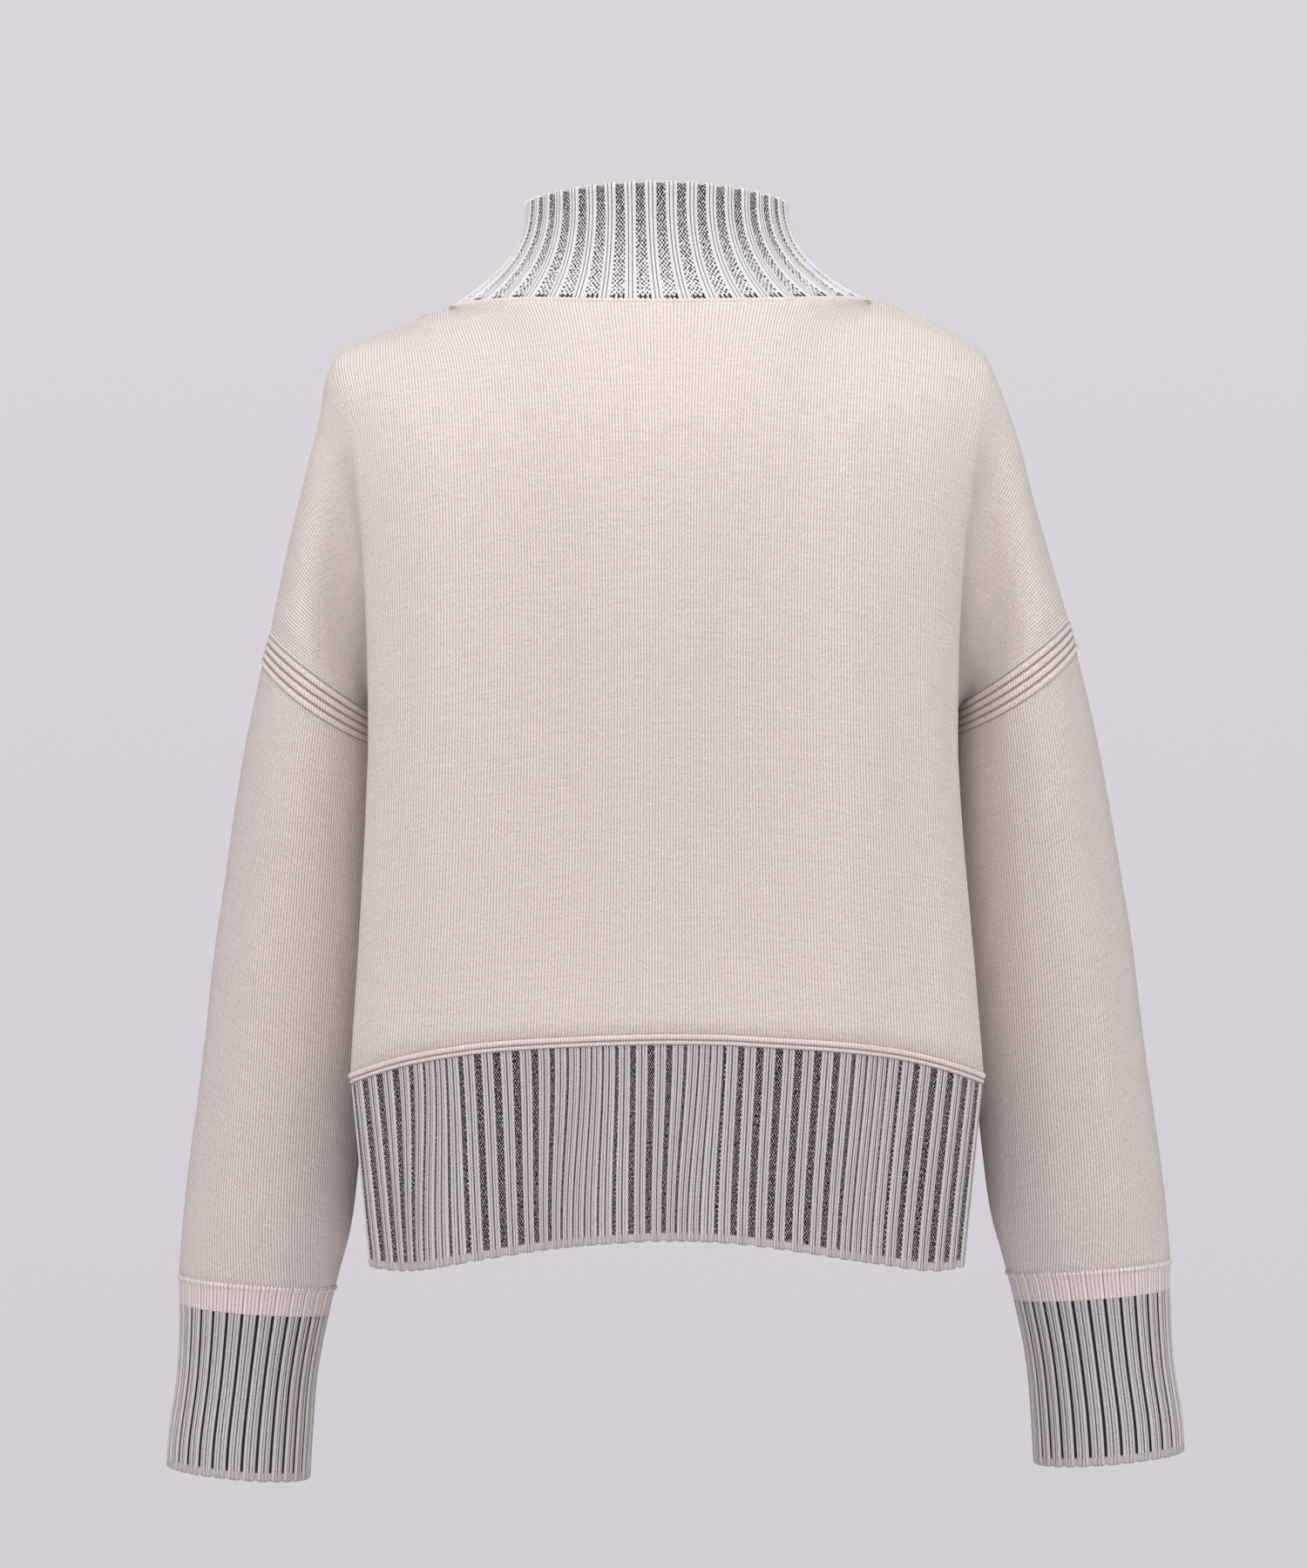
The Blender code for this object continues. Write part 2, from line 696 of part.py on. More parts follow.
def hem_loop(back, front):
    """Outer edge of both panels at the welt, once round: back from left to right, then front."""
    return np.concatenate([back[-1, ::-1], front[-1, 1:-1]])


def hem_bottom_loop():
    """Bottom edge of the hem band at the same columns as the panels."""
    wales = panel_wales()
    loops = []
    for front in (False, True):
        points = np.stack([HEM_BOTTOM[name] for name in "xyz"], axis=-1)
        if front:
            points = points * (1, -FRONT_DEPTH, 1) + (0, 0, HEM_FRONT_LIFT)
            points[-1, 2] -= HEM_FRONT_LIFT
        mirrored = points[1] * (-1, 1, 1)
        knots = np.concatenate([[-NECK_WALE], HEM_BOTTOM["wale"]])
        half = smooth(knots, np.vstack([mirrored, points]), wales)
        whole = np.concatenate([half[:0:-1] * (-1, 1, 1), half])
        folds = FRONT_FOLDS if front else BACK_FOLDS
        whole[:, 1] += (-1 if front else 1) * fold_depth(folds, whole[:, 0], HEM_LEVEL)
        loops.append(whole)
    return np.concatenate([loops[0][::-1], loops[1][1:-1]])


def along_loop(loop, distance):
    """Points at given distances along a closed polyline."""
    closed = np.vstack([loop, loop[:1]])
    steps = np.linalg.norm(np.diff(closed, axis=0), axis=1)
    reached = np.concatenate([[0], np.cumsum(steps)])
    return np.stack([np.interp(distance, reached, closed[:, k]) for k in range(3)], axis=-1)


def loop_length(loop):
    return np.linalg.norm(np.roll(loop, -1, axis=0) - loop, axis=1).sum()


def closing(points):
    """How strongly the hem's ribs are drawn together at each point, 0 to 1."""
    amount = np.zeros(len(points))
    depth = points[:, 1]
    for closings, on_side in ((BACK_CLOSINGS, depth > CLOSING_DEPTH), (FRONT_CLOSINGS, depth < -CLOSING_DEPTH)):
        for x, width in zip(closings["x"], closings["width"]):
            amount += on_side * np.exp(-((points[:, 0] - x) / width) ** 2)
    return np.clip(amount, 0, 1)


def rib_edges(loop, count):
    """Share of the loop's length where each rib starts, closer where the ribs are drawn in."""
    samples = np.linspace(0, loop_length(loop), 4000)
    density = 1 / (1 - HEM_CLOSING * closing(along_loop(loop, samples)))
    ribs = np.concatenate([[0], np.cumsum((density[1:] + density[:-1]) / 2)])
    return np.interp(np.linspace(0, ribs[-1], count + 1), ribs, samples / samples[-1])


def collar_rings(heights):
    """Rings of the collar's outer face. Height is 0 at the neckline and 1 at the rim."""
    quarter = np.linspace(0, 1, NECK_STEPS + 1)
    back = neckline(False, quarter)
    front = neckline(True, quarter)
    flip = np.array((-1, 1, 1))
    base = np.concatenate([back * flip, (front * flip)[-2::-1], front[1:], back[-2:0:-1]])
    sine, cosine = turn(4 * np.arange(len(base)) / len(base))
    rim_y = np.where(cosine > 0, RIM_BACK_Y, -RIM_FRONT_Y) * cosine
    rim_z = RIM_SIDE_Z + (np.where(cosine > 0, RIM_BACK_Z, RIM_FRONT_Z) - RIM_SIDE_Z) * cosine ** 2
    rim = np.stack([RIM_CENTRE_X - RIM_HALF_WIDTH * sine, rim_y, rim_z], axis=-1)
    rings = []
    for height in heights:
        ring = rim + (base - rim) * (1 - height) ** COLLAR_FLARE
        ring[:, 2] = base[:, 2] + (rim[:, 2] - base[:, 2]) * height
        rings.append(ring)
    return np.stack(rings)


def round_ring(points, places):
    """Points at fractional places round a ring."""
    wrapped = np.vstack([points, points[:1]])
    return np.stack([np.interp(places, np.arange(len(wrapped)), wrapped[:, k]) for k in range(3)], -1)


def add_collar(neckline_normals, materials, collection):
    """Collar and its linked seam, flaring down from the rim to the neckline."""
    half_gap = SEAM_GAP / 2
    seam = collar_rings(np.array(COLLAR_SEAM_PROFILE["share"]) * COLLAR_SEAM_SHARE)
    normals = -grid_normals(seam, True)
    normals[-1] = neckline_normals
    joint_normals = normals[0]
    seam[-1] -= half_gap * seam_side(seam[-1], neckline_normals)
    seam[0] += half_gap * unit(seam[1] - seam[0])
    raised = seam + normals * COLLAR_SEAM_PROFILE["height"][:, None, None]
    inner = seam[[0, -1]] - normals[[0, -1]] * KNIT_THICKNESS
    ring_wall("collar_seam", raised, inner, materials["cream_edge"], collection)

    rings = collar_rings(COLLAR_SEAM_SHARE + (1 - COLLAR_SEAM_SHARE) * np.array(COLLAR_RING_HEIGHTS))
    normals = -grid_normals(rings, True)
    normals[-1] = joint_normals
    rings[-1] += half_gap * unit(rings[-2] - rings[-1])
    steps = rings.shape[1]
    starts = np.arange(COLLAR_RIBS)[:, None]
    places = ((starts + COLLAR_RIB["phase"]) * steps / COLLAR_RIBS).ravel()
    lift = (np.tile(COLLAR_RIB["raised"], COLLAR_RIBS) - 1)[:, None] * RIB_HEIGHT
    inner_places = starts.ravel() * steps / COLLAR_RIBS
    depth = RIB_HEIGHT + RIB_VALLEY_THICKNESS
    outer = []
    inner = []
    for ring, normal in zip(rings, normals):
        outer.append(round_ring(ring, places) + round_ring(normal, places) * lift)
        inner.append(round_ring(ring, inner_places) - round_ring(normal, inner_places) * depth)
    ring_wall("collar", np.stack(outer), np.stack(inner), materials["pale_grey"], collection, pivot=1)


def add_hem(back, front, materials, collection):
    """Welt and ribbed band below the panels."""
    top = hem_loop(back, front)
    bottom = hem_bottom_loop()
    length = np.linalg.norm(bottom - top, axis=1)[:, None]
    down = (bottom - top) / length

    def ring(distance):
        return top + down * distance

    span = WELT_HEIGHT - SEAM_GAP
    rings = np.stack([ring(SEAM_GAP / 2 + span * share) for share in WELT_PROFILE["share"]])
    normals = level_normals(-grid_normals(rings, True))
    outer = rings + normals * (WELT_RIDGE * WELT_PROFILE["height"])[:, None, None]
    inner = rings[[0, -1]] - normals[[0, -1]] * KNIT_THICKNESS
    ring_wall("hem_welt", outer, inner, materials["cream_edge"], collection)

    band_top = ring(WELT_HEIGHT + SEAM_GAP / 2)
    shares = np.linspace(0, 1, HEM_ROWS + 1)
    rings = np.stack([band_top + (bottom - band_top) * share for share in shares])
    normals = level_normals(-grid_normals(rings, True))
    edges = rib_edges(band_top, HEM_RIBS)
    pitch = np.diff(edges) * loop_length(band_top)
    crest = np.minimum(HEM_RIB_CREST / pitch, HEM_CREST_MOST)
    phases = np.stack([0 * crest, 0.5 - crest / 2, 0.5 + crest / 2], axis=-1)
    places = (edges[:-1, None] + phases * np.diff(edges)[:, None]).ravel()
    lift = np.tile((-RIB_HEIGHT, 0.0, 0.0), HEM_RIBS)[:, None]
    outer = []
    inner = []
    for row, normal in zip(rings, normals):
        frame = np.concatenate([row, normal], axis=1)
        steps = np.linalg.norm(np.roll(row, -1, axis=0) - row, axis=1)
        reached = np.concatenate([[0], np.cumsum(steps)]) / steps.sum()
        wrapped = np.vstack([frame, frame[:1]])
        at = np.stack([np.interp(places, reached, wrapped[:, k]) for k in range(6)], axis=-1)
        outer.append(at[:, :3] + at[:, 3:] * lift)
        at = at[::3]
        inner.append(at[:, :3] - at[:, 3:] * (RIB_HEIGHT + RIB_VALLEY_THICKNESS))
    ring_wall("hem_rib", np.stack(outer), np.stack(inner), materials["rib_grey"], collection)


def add_armhole_band(side, arm, shared_normals, materials, collection):
    """The ridged strip between the panels and the sleeve."""
    angle = arm_angles()
    top = armhole_height(arm, angle)
    drop = band_drop(angle)
    gap = SEAM_GAP / 2 / ARMHOLE_BAND_WIDTH
    shares = np.linspace(0, 1 - gap, 2 * ARMHOLE_RIDGES + 1)
    rings = np.stack([sleeve_point(arm, angle, top - drop * share) for share in shares])
    normals = outward(rings, arm)
    normals[0] = shared_normals
    rings[0] += SEAM_GAP / 2 * arm["sign"] * seam_side(rings[0], shared_normals)
    ridge = np.where(np.arange(len(shares)) % 2, ARMHOLE_RIDGE_HEIGHT, 0.0)
    flat = 1 - UNDERARM_FLATTENING * ease(0.2, -1.0, np.cos(angle))
    outer = rings + normals * ridge[:, None, None] * flat[:, None]
    ends = [0, -1]
    inner = rings[ends] - normals[ends] * KNIT_THICKNESS
    tube(f"armhole_band_{side}", outer, inner, arm, materials["cream_edge"], collection)


def outward(rings, arm):
    """Outward normals of a sleeve's rings, whichever side it is on."""
    return -arm["sign"] * grid_normals(rings, True)


def tube(name, outer, inner, arm, finish, collection):
    """A sleeve-like wall; the right arm's rings are turned round to run the left arm's way."""
    if arm["sign"] < 0:
        outer = np.roll(outer[:, ::-1], 1, axis=1)
        inner = np.roll(inner[:, ::-1], 1, axis=1)
    return ring_wall(name, outer, inner, finish, collection)


def add_sleeve(side, arm, materials, collection):
    """The sleeve, from the armhole band to the cuff."""
    angle = arm_angles()
    top = armhole_height(arm, angle) - band_drop(angle) - SEAM_GAP / 2
    bottom = cuff_height(arm, angle, CUFF_BAND_TOP_Z, CUFF_TILT) + SEAM_GAP / 2
    shares = np.linspace(0, 1, SLEEVE_STEPS)
    rings = np.stack([sleeve_point(arm, angle, top + (bottom - top) * share) for share in shares])
    normals = outward(rings, arm)
    normals[-1] = level_normals(normals[-1])
    inner = rings - normals * KNIT_THICKNESS
    tube(f"sleeve_{side}", rings, inner, arm, materials["cream"], collection)


def add_cuff(side, arm, materials, collection):
    """Cream band with its ridge, then the deep ribbed cuff."""
    angle = np.arange(CUFF_RIBS) * 2 * np.pi / CUFF_RIBS
    top = cuff_height(arm, angle, CUFF_BAND_TOP_Z, CUFF_TILT) - SEAM_GAP / 2
    bottom = top - CUFF_BAND_HEIGHT + SEAM_GAP
    shares = CUFF_BAND_PROFILE["share"]
    raised = CUFF_BAND_RIDGE * CUFF_BAND_PROFILE["height"]
    rings = np.stack([sleeve_point(arm, angle, top + (bottom - top) * share) for share in shares])
    normals = level_normals(outward(rings, arm))
    inner = rings[[0, -1]] - normals[[0, -1]] * KNIT_THICKNESS
    outer = rings + normals * raised[:, None, None]
    tube(f"cuff_band_{side}", outer, inner, arm, materials["cream_edge"], collection)

    phases = np.array((0.0, CUFF_VALLEY / 2, 1 - CUFF_VALLEY / 2))
    fine = ((np.arange(CUFF_RIBS)[:, None] + phases) * 2 * np.pi / CUFF_RIBS).ravel()
    lift = np.tile((-RIB_HEIGHT, 0.0, 0.0), CUFF_RIBS)[:, None]

    def rows(angles):
        start = cuff_height(arm, angles, CUFF_BAND_TOP_Z, CUFF_TILT) - CUFF_BAND_HEIGHT - SEAM_GAP / 2
        end = cuff_height(arm, angles, CUFF_RIB_BOTTOM_Z, CUFF_BOTTOM_TILT)
        heights = [start + (end - start) * share for share in (0, 0.5, 1)]
        return np.stack([sleeve_point(arm, angles, height) for height in heights])

    outer_rows = rows(fine)
    inner_rows = rows(angle)
    outer = outer_rows + level_normals(outward(outer_rows, arm)) * lift
    inner = inner_rows - level_normals(outward(inner_rows, arm)) * (RIB_HEIGHT + RIB_VALLEY_THICKNESS)
    tube(f"cuff_rib_{side}", outer, inner, arm, materials["rib_grey"], collection)


def main():
    for obj in list(bpy.data.objects):
        bpy.data.objects.remove(obj)
    sweater = bpy.data.collections.new("cropped_knit_sweater")
    bpy.context.scene.collection.children.link(sweater)
    materials = {
        "cream": material("cream_knit", CREAM, 0.9),
        "cream_edge": material("cream_edging", CREAM_EDGE, 0.88),
        "pale_grey": material("pale_grey_rib", PALE_GREY, 0.9),
        "rib_grey": material("two_tone_rib", RIB_GREY, 0.9),
    }

    back = panel_grid(front=False)
    front = panel_grid(front=True)
    back_normals = grid_normals(back, False)
    front_normals = -grid_normals(front, False)
    band_normals = {}
    for side, arm in ARMS.items():
        angle = arm_angles()
        seam = armhole_height(arm, angle)
        loops = np.stack([sleeve_point(arm, angle, seam + step) for step in (NORMAL_STEP, 0, -NORMAL_STEP)])
        band_normals[side] = outward(loops, arm)[1]
    collar_normals = -grid_normals(collar_rings((NORMAL_SHARE, 0.0)), True)[-1]
    share_seam_normals(back_normals, front_normals, band_normals, collar_normals)

    add_hem(back, front, materials, sweater)
    add_collar(collar_normals, materials, sweater)
    for name, grid, normals in (("back_panel", back, back_normals), ("front_panel", front, front_normals)):
        is_front = name == "front_panel"
        outer = draw_back_edges(grid, is_front, band_normals, collar_normals)
        inner = outer - normals * KNIT_THICKNESS
        panel_wall(name, outer, inner, is_front, materials["cream"], sweater)
    for side, arm in ARMS.items():
        add_armhole_band(side, arm, band_normals[side], materials, sweater)
        add_sleeve(side, arm, materials, sweater)
        add_cuff(side, arm, materials, sweater)


main()
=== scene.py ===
"""Looks of the cropped knit sweater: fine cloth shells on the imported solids, with knit materials.

The form functions repeat the solids' own, and everything finer is worked out from them. Units are
metres and +Z is up. The front faces -Y and the photograph shows the back, from +Y.
"""

import math

import bpy
import numpy as np
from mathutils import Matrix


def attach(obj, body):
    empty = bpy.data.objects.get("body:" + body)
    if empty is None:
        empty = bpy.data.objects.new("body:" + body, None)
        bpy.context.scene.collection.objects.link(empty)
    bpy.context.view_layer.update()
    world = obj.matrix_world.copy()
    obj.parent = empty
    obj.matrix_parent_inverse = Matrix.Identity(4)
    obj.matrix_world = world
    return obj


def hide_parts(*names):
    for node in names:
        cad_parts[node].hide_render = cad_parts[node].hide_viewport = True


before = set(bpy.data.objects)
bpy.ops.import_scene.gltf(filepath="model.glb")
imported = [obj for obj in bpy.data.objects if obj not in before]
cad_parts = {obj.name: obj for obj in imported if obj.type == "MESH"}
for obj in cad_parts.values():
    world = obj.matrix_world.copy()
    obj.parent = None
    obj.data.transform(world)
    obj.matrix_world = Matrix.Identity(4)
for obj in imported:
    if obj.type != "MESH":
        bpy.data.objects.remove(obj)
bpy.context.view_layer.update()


def table(names, *rows):
    """A short table: one array for each named column."""
    return dict(zip(names.split(), np.array(rows, float).T))


# ---- the solids' form

# Cloth
RIB_HEIGHT = 0.0016
SEAM_GAP = 0.0003

# Counts that the knitter sets
COLLAR_RIBS = 40
HEM_RIBS = 116
CUFF_RIBS = 30
ARMHOLE_RIDGES = 4

# Neck
NECK_HALF_WIDTH = 0.122
NECK_BACK_Y = 0.076
NECK_FRONT_Y = -0.080
NECK_SIDE_Z = -0.001
NECK_BACK_Z = -0.008
NECK_FRONT_Z = -0.045
RIM_CENTRE_X = 0.006
RIM_HALF_WIDTH = 0.079
RIM_BACK_Y = 0.056
RIM_FRONT_Y = -0.062
RIM_SIDE_Z = 0.058
RIM_BACK_Z = 0.065
RIM_FRONT_Z = 0.036
COLLAR_FLARE = 2.5
COLLAR_SEAM_SHARE = 0.035

# Borders
WELT_HEIGHT = 0.0068
WELT_RIDGE = 0.0014
ARMHOLE_BAND_WIDTH = 0.0176
ARMHOLE_RIDGE_HEIGHT = 0.0014
UNDERARM_FLATTENING = 0.7
CUFF_BAND_HEIGHT = 0.0175
CUFF_BAND_RIDGE = 0.0012
HEM_RIB_CREST = 0.0062
HEM_CLOSING = 0.40
HEM_CLOSING_Y = 0.04
HEM_SAMPLES = 4000

# Grid of each panel. Wales are flat distances from the centre line, levels run 0 to 7 from the
# shoulder seam to the welt, and the armhole ends at the underarm level.
MID_WALE = 0.059
NECK_WALE = 0.115
BLADE_WALE = 0.165
CORNER_WALE = 0.190
FOLD_WALE = 0.220
ARM_WALE = 0.265
SIDE_WALE = 0.320
UNDERARM_LEVEL = 5.0
HEM_LEVEL = 7.0
NECK_STEPS = 5
ROWS_TO_UNDERARM = 12
LEVELS_BELOW_UNDERARM = (5.14, 5.6, 6.3, 7.0)
NECKLINE_FADE_LEVEL = 1.6
UNDERARM_COLUMNS = 4
UNDERARM_PASSES = 3

# Key wales: where each one runs, level by level. The outer ones are shared by back and front.
LEVELS = np.arange(8.0)
CENTRE_BACK = table(
    "x y z",
    (0.0, 0.0760, -0.008),
    (0.0, 0.0930, -0.036),
    (0.0, 0.1100, -0.075),
    (0.0, 0.1215, -0.125),
    (0.0, 0.1275, -0.190),
    (0.0, 0.1280, -0.270),
    (0.0, 0.1270, -0.355),
    (0.0, 0.1300, -0.431),
)
CENTRE_FRONT = table(
    "x y z",
    (0.0, -0.0800, -0.045),
    (0.0, -0.0960, -0.068),
    (0.0, -0.1120, -0.102),
    (0.0, -0.1270, -0.148),
    (0.0, -0.1360, -0.208),
    (0.0, -0.1375, -0.282),
    (0.0, -0.1360, -0.362),
    (0.0, -0.1370, -0.441),
)
MID_BACK = table(
    "x y z",
    (0.0717, 0.0615, -0.0056),
    (0.0660, 0.0840, -0.028),
    (0.0620, 0.1040, -0.065),
    (0.0600, 0.1180, -0.118),
    (0.0590, 0.1245, -0.185),
    (0.0590, 0.1255, -0.266),
    (0.0600, 0.1250, -0.352),
    (0.0620, 0.1270, -0.4335),
)
MID_FRONT = table(
    "x y z",
    (0.0717, -0.0647, -0.0298),
    (0.0670, -0.0850, -0.052),
    (0.0630, -0.1035, -0.090),
    (0.0600, -0.1205, -0.140),
    (0.0590, -0.1325, -0.203),
    (0.0590, -0.1345, -0.279),
    (0.0600, -0.1335, -0.360),
    (0.0620, -0.1340, -0.443),
)
NECK_LINE = table(
    "x y z",
    (0.1220, 0.000, -0.001),
    (0.1205, 0.036, -0.013),
    (0.1180, 0.073, -0.041),
    (0.1150, 0.099, -0.090),
    (0.1130, 0.113, -0.160),
    (0.1130, 0.1185, -0.250),
    (0.1150, 0.119, -0.345),
    (0.1180, 0.119, -0.438),
)
BLADE_LINE = table(
    "x y z",
    (0.1650, 0.000, -0.0170),
    (0.1660, 0.035, -0.030),
    (0.1630, 0.067, -0.058),
    (0.1590, 0.089, -0.105),
    (0.1560, 0.1005, -0.172),
    (0.1555, 0.106, -0.258),
    (0.1580, 0.107, -0.352),
    (0.1630, 0.106, -0.448),
)
CORNER_LINE = table(
    "x y z",
    (0.1880, 0.000, -0.0300),
    (0.1880, 0.033, -0.042),
    (0.1840, 0.060, -0.071),
    (0.1790, 0.077, -0.116),
    (0.1745, 0.085, -0.182),
    (0.1730, 0.089, -0.265),
    (0.1770, 0.090, -0.358),
    (0.1830, 0.088, -0.4556),
)
FOLD_LINE = table(
    "x y z",
    (0.2002, 0.000, -0.0625),
    (0.2035, 0.030, -0.075),
    (0.1980, 0.052, -0.099),
    (0.1860, 0.060, -0.135),
    (0.1725, 0.058, -0.195),
    (0.1640, 0.053, -0.269),
    (0.1660, 0.053, -0.361),
    (0.1740, 0.053, -0.459),
)
ARM_LINE = table(
    "x y z",
    (0.2205, 0.000, -0.125),
    (0.2185, 0.031, -0.135),
    (0.2110, 0.052, -0.152),
    (0.1960, 0.058, -0.178),
    (0.1770, 0.050, -0.220),
    (0.1600, 0.034, -0.278),
    (0.1620, 0.030, -0.359),
    (0.1690, 0.028, -0.462),
)
SIDE_SEAM = table(
    "level x z",
    (5.0, 0.1700, -0.250),
    (5.14, 0.1605, -0.256),
    (5.6, 0.1580, -0.304),
    (6.0, 0.1600, -0.359),
    (7.0, 0.1680, -0.463),
)
KEY_WALES = (0.0, MID_WALE, NECK_WALE, BLADE_WALE, CORNER_WALE, FOLD_WALE, ARM_WALE, SIDE_WALE)
FRONT_DEPTH = 1.06

# Soft vertical folds: where each lies at the top and at the hem, and how far it stands out.
BACK_FOLDS = table(
    "x_top x_hem height width",
    (0.150, 0.150, -0.0050, 0.020),
    (0.105, 0.127, 0.0045, 0.020),
    (0.068, 0.068, -0.0060, 0.026),
    (0.015, 0.015, 0.0040, 0.024),
    (-0.042, -0.042, -0.0050, 0.026),
    (-0.090, -0.108, 0.0050, 0.020),
    (-0.137, -0.137, -0.0050, 0.020),
)
FRONT_FOLDS = table(
    "x_top x_hem height width",
    (0.140, 0.148, -0.0045, 0.020),
    (0.100, 0.110, 0.0045, 0.022),
    (0.052, 0.060, -0.0050, 0.026),
    (-0.004, -0.006, 0.0035, 0.026),
    (-0.060, -0.070, -0.0055, 0.024),
    (-0.102, -0.120, 0.0045, 0.020),
    (-0.146, -0.152, -0.0040, 0.018),
)
FOLD_START_LEVEL = 2.2
FOLD_FULL_LEVEL = 7.0
FOLD_FADE_WALE = 0.172
FOLD_END_WALE = 0.192

# Places round the hem where the ribs are drawn together, as x on the back and on the front.
BACK_CLOSINGS = table(
    "x width",
    (0.133, 0.013),
    (0.045, 0.020),
    (-0.022, 0.014),
    (-0.122, 0.015),
)
FRONT_CLOSINGS = table(
    "x width",
    (0.120, 0.015),
    (0.030, 0.018),
    (-0.040, 0.018),
    (-0.128, 0.014),
)

# The sleeve as a tube: outer and inner x, half depth and middle y by height.
SLEEVE = table(
    "z outer inner half_depth middle_y",
    (-0.1600, 0.2285, 0.1700, 0.0600, 0.000),
    (-0.1900, 0.2345, 0.1700, 0.0610, 0.000),
    (-0.2170, 0.2408, 0.1700, 0.0620, 0.000),
    (-0.2680, 0.2516, 0.1700, 0.0625, 0.000),
    (-0.3090, 0.2584, 0.1702, 0.0620, -0.002),
    (-0.3510, 0.2646, 0.1712, 0.0610, -0.006),
    (-0.3930, 0.2709, 0.1735, 0.0595, -0.009),
    (-0.4340, 0.2755, 0.1772, 0.0575, -0.012),
    (-0.4760, 0.2807, 0.1810, 0.0550, -0.015),
    (-0.5170, 0.2865, 0.1848, 0.0520, -0.018),
    (-0.5590, 0.2910, 0.1905, 0.0480, -0.0205),
    (-0.5830, 0.2927, 0.1970, 0.0440, -0.022),
    (-0.6070, 0.2927, 0.2028, 0.0395, -0.023),
    (-0.6420, 0.2943, 0.2096, 0.0375, -0.025),
    (-0.6840, 0.3000, 0.2130, 0.0385, -0.0265),
    (-0.7200, 0.3015, 0.2150, 0.0400, -0.0275),
)
ARMHOLE_TOP_Z = -0.1997
ARMHOLE_UNDERARM_Z = -0.250
ARMHOLE_SLOPE = 0.73
CUFF_BAND_TOP_Z = -0.586
CUFF_TILT = 0.0035
CUFF_RIB_BOTTOM_Z = -0.7012
CUFF_BOTTOM_TILT = 0.004

# The two sides don't hang quite alike: how far out and how high each sleeve is, at the armhole
# and at the cuff, how much wider it is to each side of its middle below the armhole, and how far
# in the body's corner stands beside it.
ARM_FACTS = ("sign", "out_top", "out_cuff", "lift_top", "lift_cuff", "wider", "corner_in")
ARMS = {
    "left": dict(zip(ARM_FACTS, (1.0, 0.0, 0.0, 0.0, 0.0, 0.0, 0.0))),
    "right": dict(zip(ARM_FACTS, (-1.0, 0.0030, 0.0078, 0.0085, 0.0090, 0.0022, 0.0045))),
}

# Hem band
HEM_BOTTOM = table(
    "wale x y z",
    (0.000, 0.000, 0.126, -0.5495),
    (0.115, 0.112, 0.115, -0.5620),
    (0.165, 0.155, 0.101, -0.5695),
    (0.190, 0.172, 0.084, -0.5685),
    (0.220, 0.171, 0.052, -0.5680),
    (0.265, 0.169, 0.027, -0.5695),
    (0.320, 0.168, 0.000, -0.5705),
)
HEM_FRONT_LIFT = -0.004


# ---- curves and grids

def smooth(knots, points, where):
    """A smooth curve through points, one at each knot, read at every place in where."""
    knots = np.asarray(knots, float)
    points = np.asarray(points, float)
    where = np.asarray(where, float)
    slopes = np.gradient(points, knots, axis=0)
    cell = np.clip(np.searchsorted(knots, where, side="right") - 1, 0, len(knots) - 2)
    span = knots[cell + 1] - knots[cell]
    t = (where - knots[cell]) / span
    if points.ndim > 1:
        t = t[..., None]
        span = span[..., None]
    start = (1 + 2 * t) * (1 - t) ** 2 * points[cell] + t * (1 - t) ** 2 * span * slopes[cell]
    end = t * t * (3 - 2 * t) * points[cell + 1] - t * t * (1 - t) * span * slopes[cell + 1]
    return start + end


def ease(low, high, value):
    """0 below low, 1 above high and a soft step between."""
    t = np.clip((value - low) / (high - low), 0, 1)
    return t * t * (3 - 2 * t)


def unit(vectors):
    return vectors / np.linalg.norm(vectors, axis=-1, keepdims=True)


def turn(quarters):
    """Sine and cosine of an angle given in quarter turns."""
    angle = np.asarray(quarters, float) * np.pi / 2
    return np.sin(angle), np.cos(angle)


def grid_normals(points, closed):
    """Normals of a grid of points; rows run down and columns run round. Closed grids wrap."""
    down = np.gradient(points, axis=0)
    if closed:
        across = np.roll(points, -1, axis=1) - np.roll(points, 1, axis=1)
    else:
        across = np.gradient(points, axis=1)
    return unit(np.cross(across, down))


# ---- sleeve tube

def sleeve_point(arm, angle, height):
    """A point of the sleeve's outer face. Angle 0 is over the arm, a quarter turn is its back."""
    reach = np.clip((SLEEVE["z"][1] - height) / (SLEEVE["z"][1] - CUFF_BAND_TOP_Z), 0, 1.2)
    lift = arm["lift_top"] + (arm["lift_cuff"] - arm["lift_top"]) * reach
    out = arm["out_top"] + (arm["out_cuff"] - arm["out_top"]) * reach
    drop = -(height - lift)
    outer = smooth(-SLEEVE["z"], SLEEVE["outer"], drop)
    inner = smooth(-SLEEVE["z"], SLEEVE["inner"], drop)
    half_depth = smooth(-SLEEVE["z"], SLEEVE["half_depth"], drop)
    middle_y = smooth(-SLEEVE["z"], SLEEVE["middle_y"], drop)
    middle = (outer + inner) / 2
    half = (outer - inner) / 2 + arm["wider"] * ease(0.0, 0.5, reach)
    x = arm["sign"] * (middle + half * np.cos(angle) + out)
    y = middle_y + half_depth * np.sin(angle)
    return np.stack([x, y, height + 0 * x], axis=-1)


def armhole_height(arm, angle):
    """Height of the seam between the panels and the armhole band, round the arm."""
    middle = (ARMHOLE_TOP_Z + ARMHOLE_UNDERARM_Z) / 2
    half = (ARMHOLE_TOP_Z - ARMHOLE_UNDERARM_Z) / 2
    return middle + half * np.cos(angle) + arm["lift_top"]


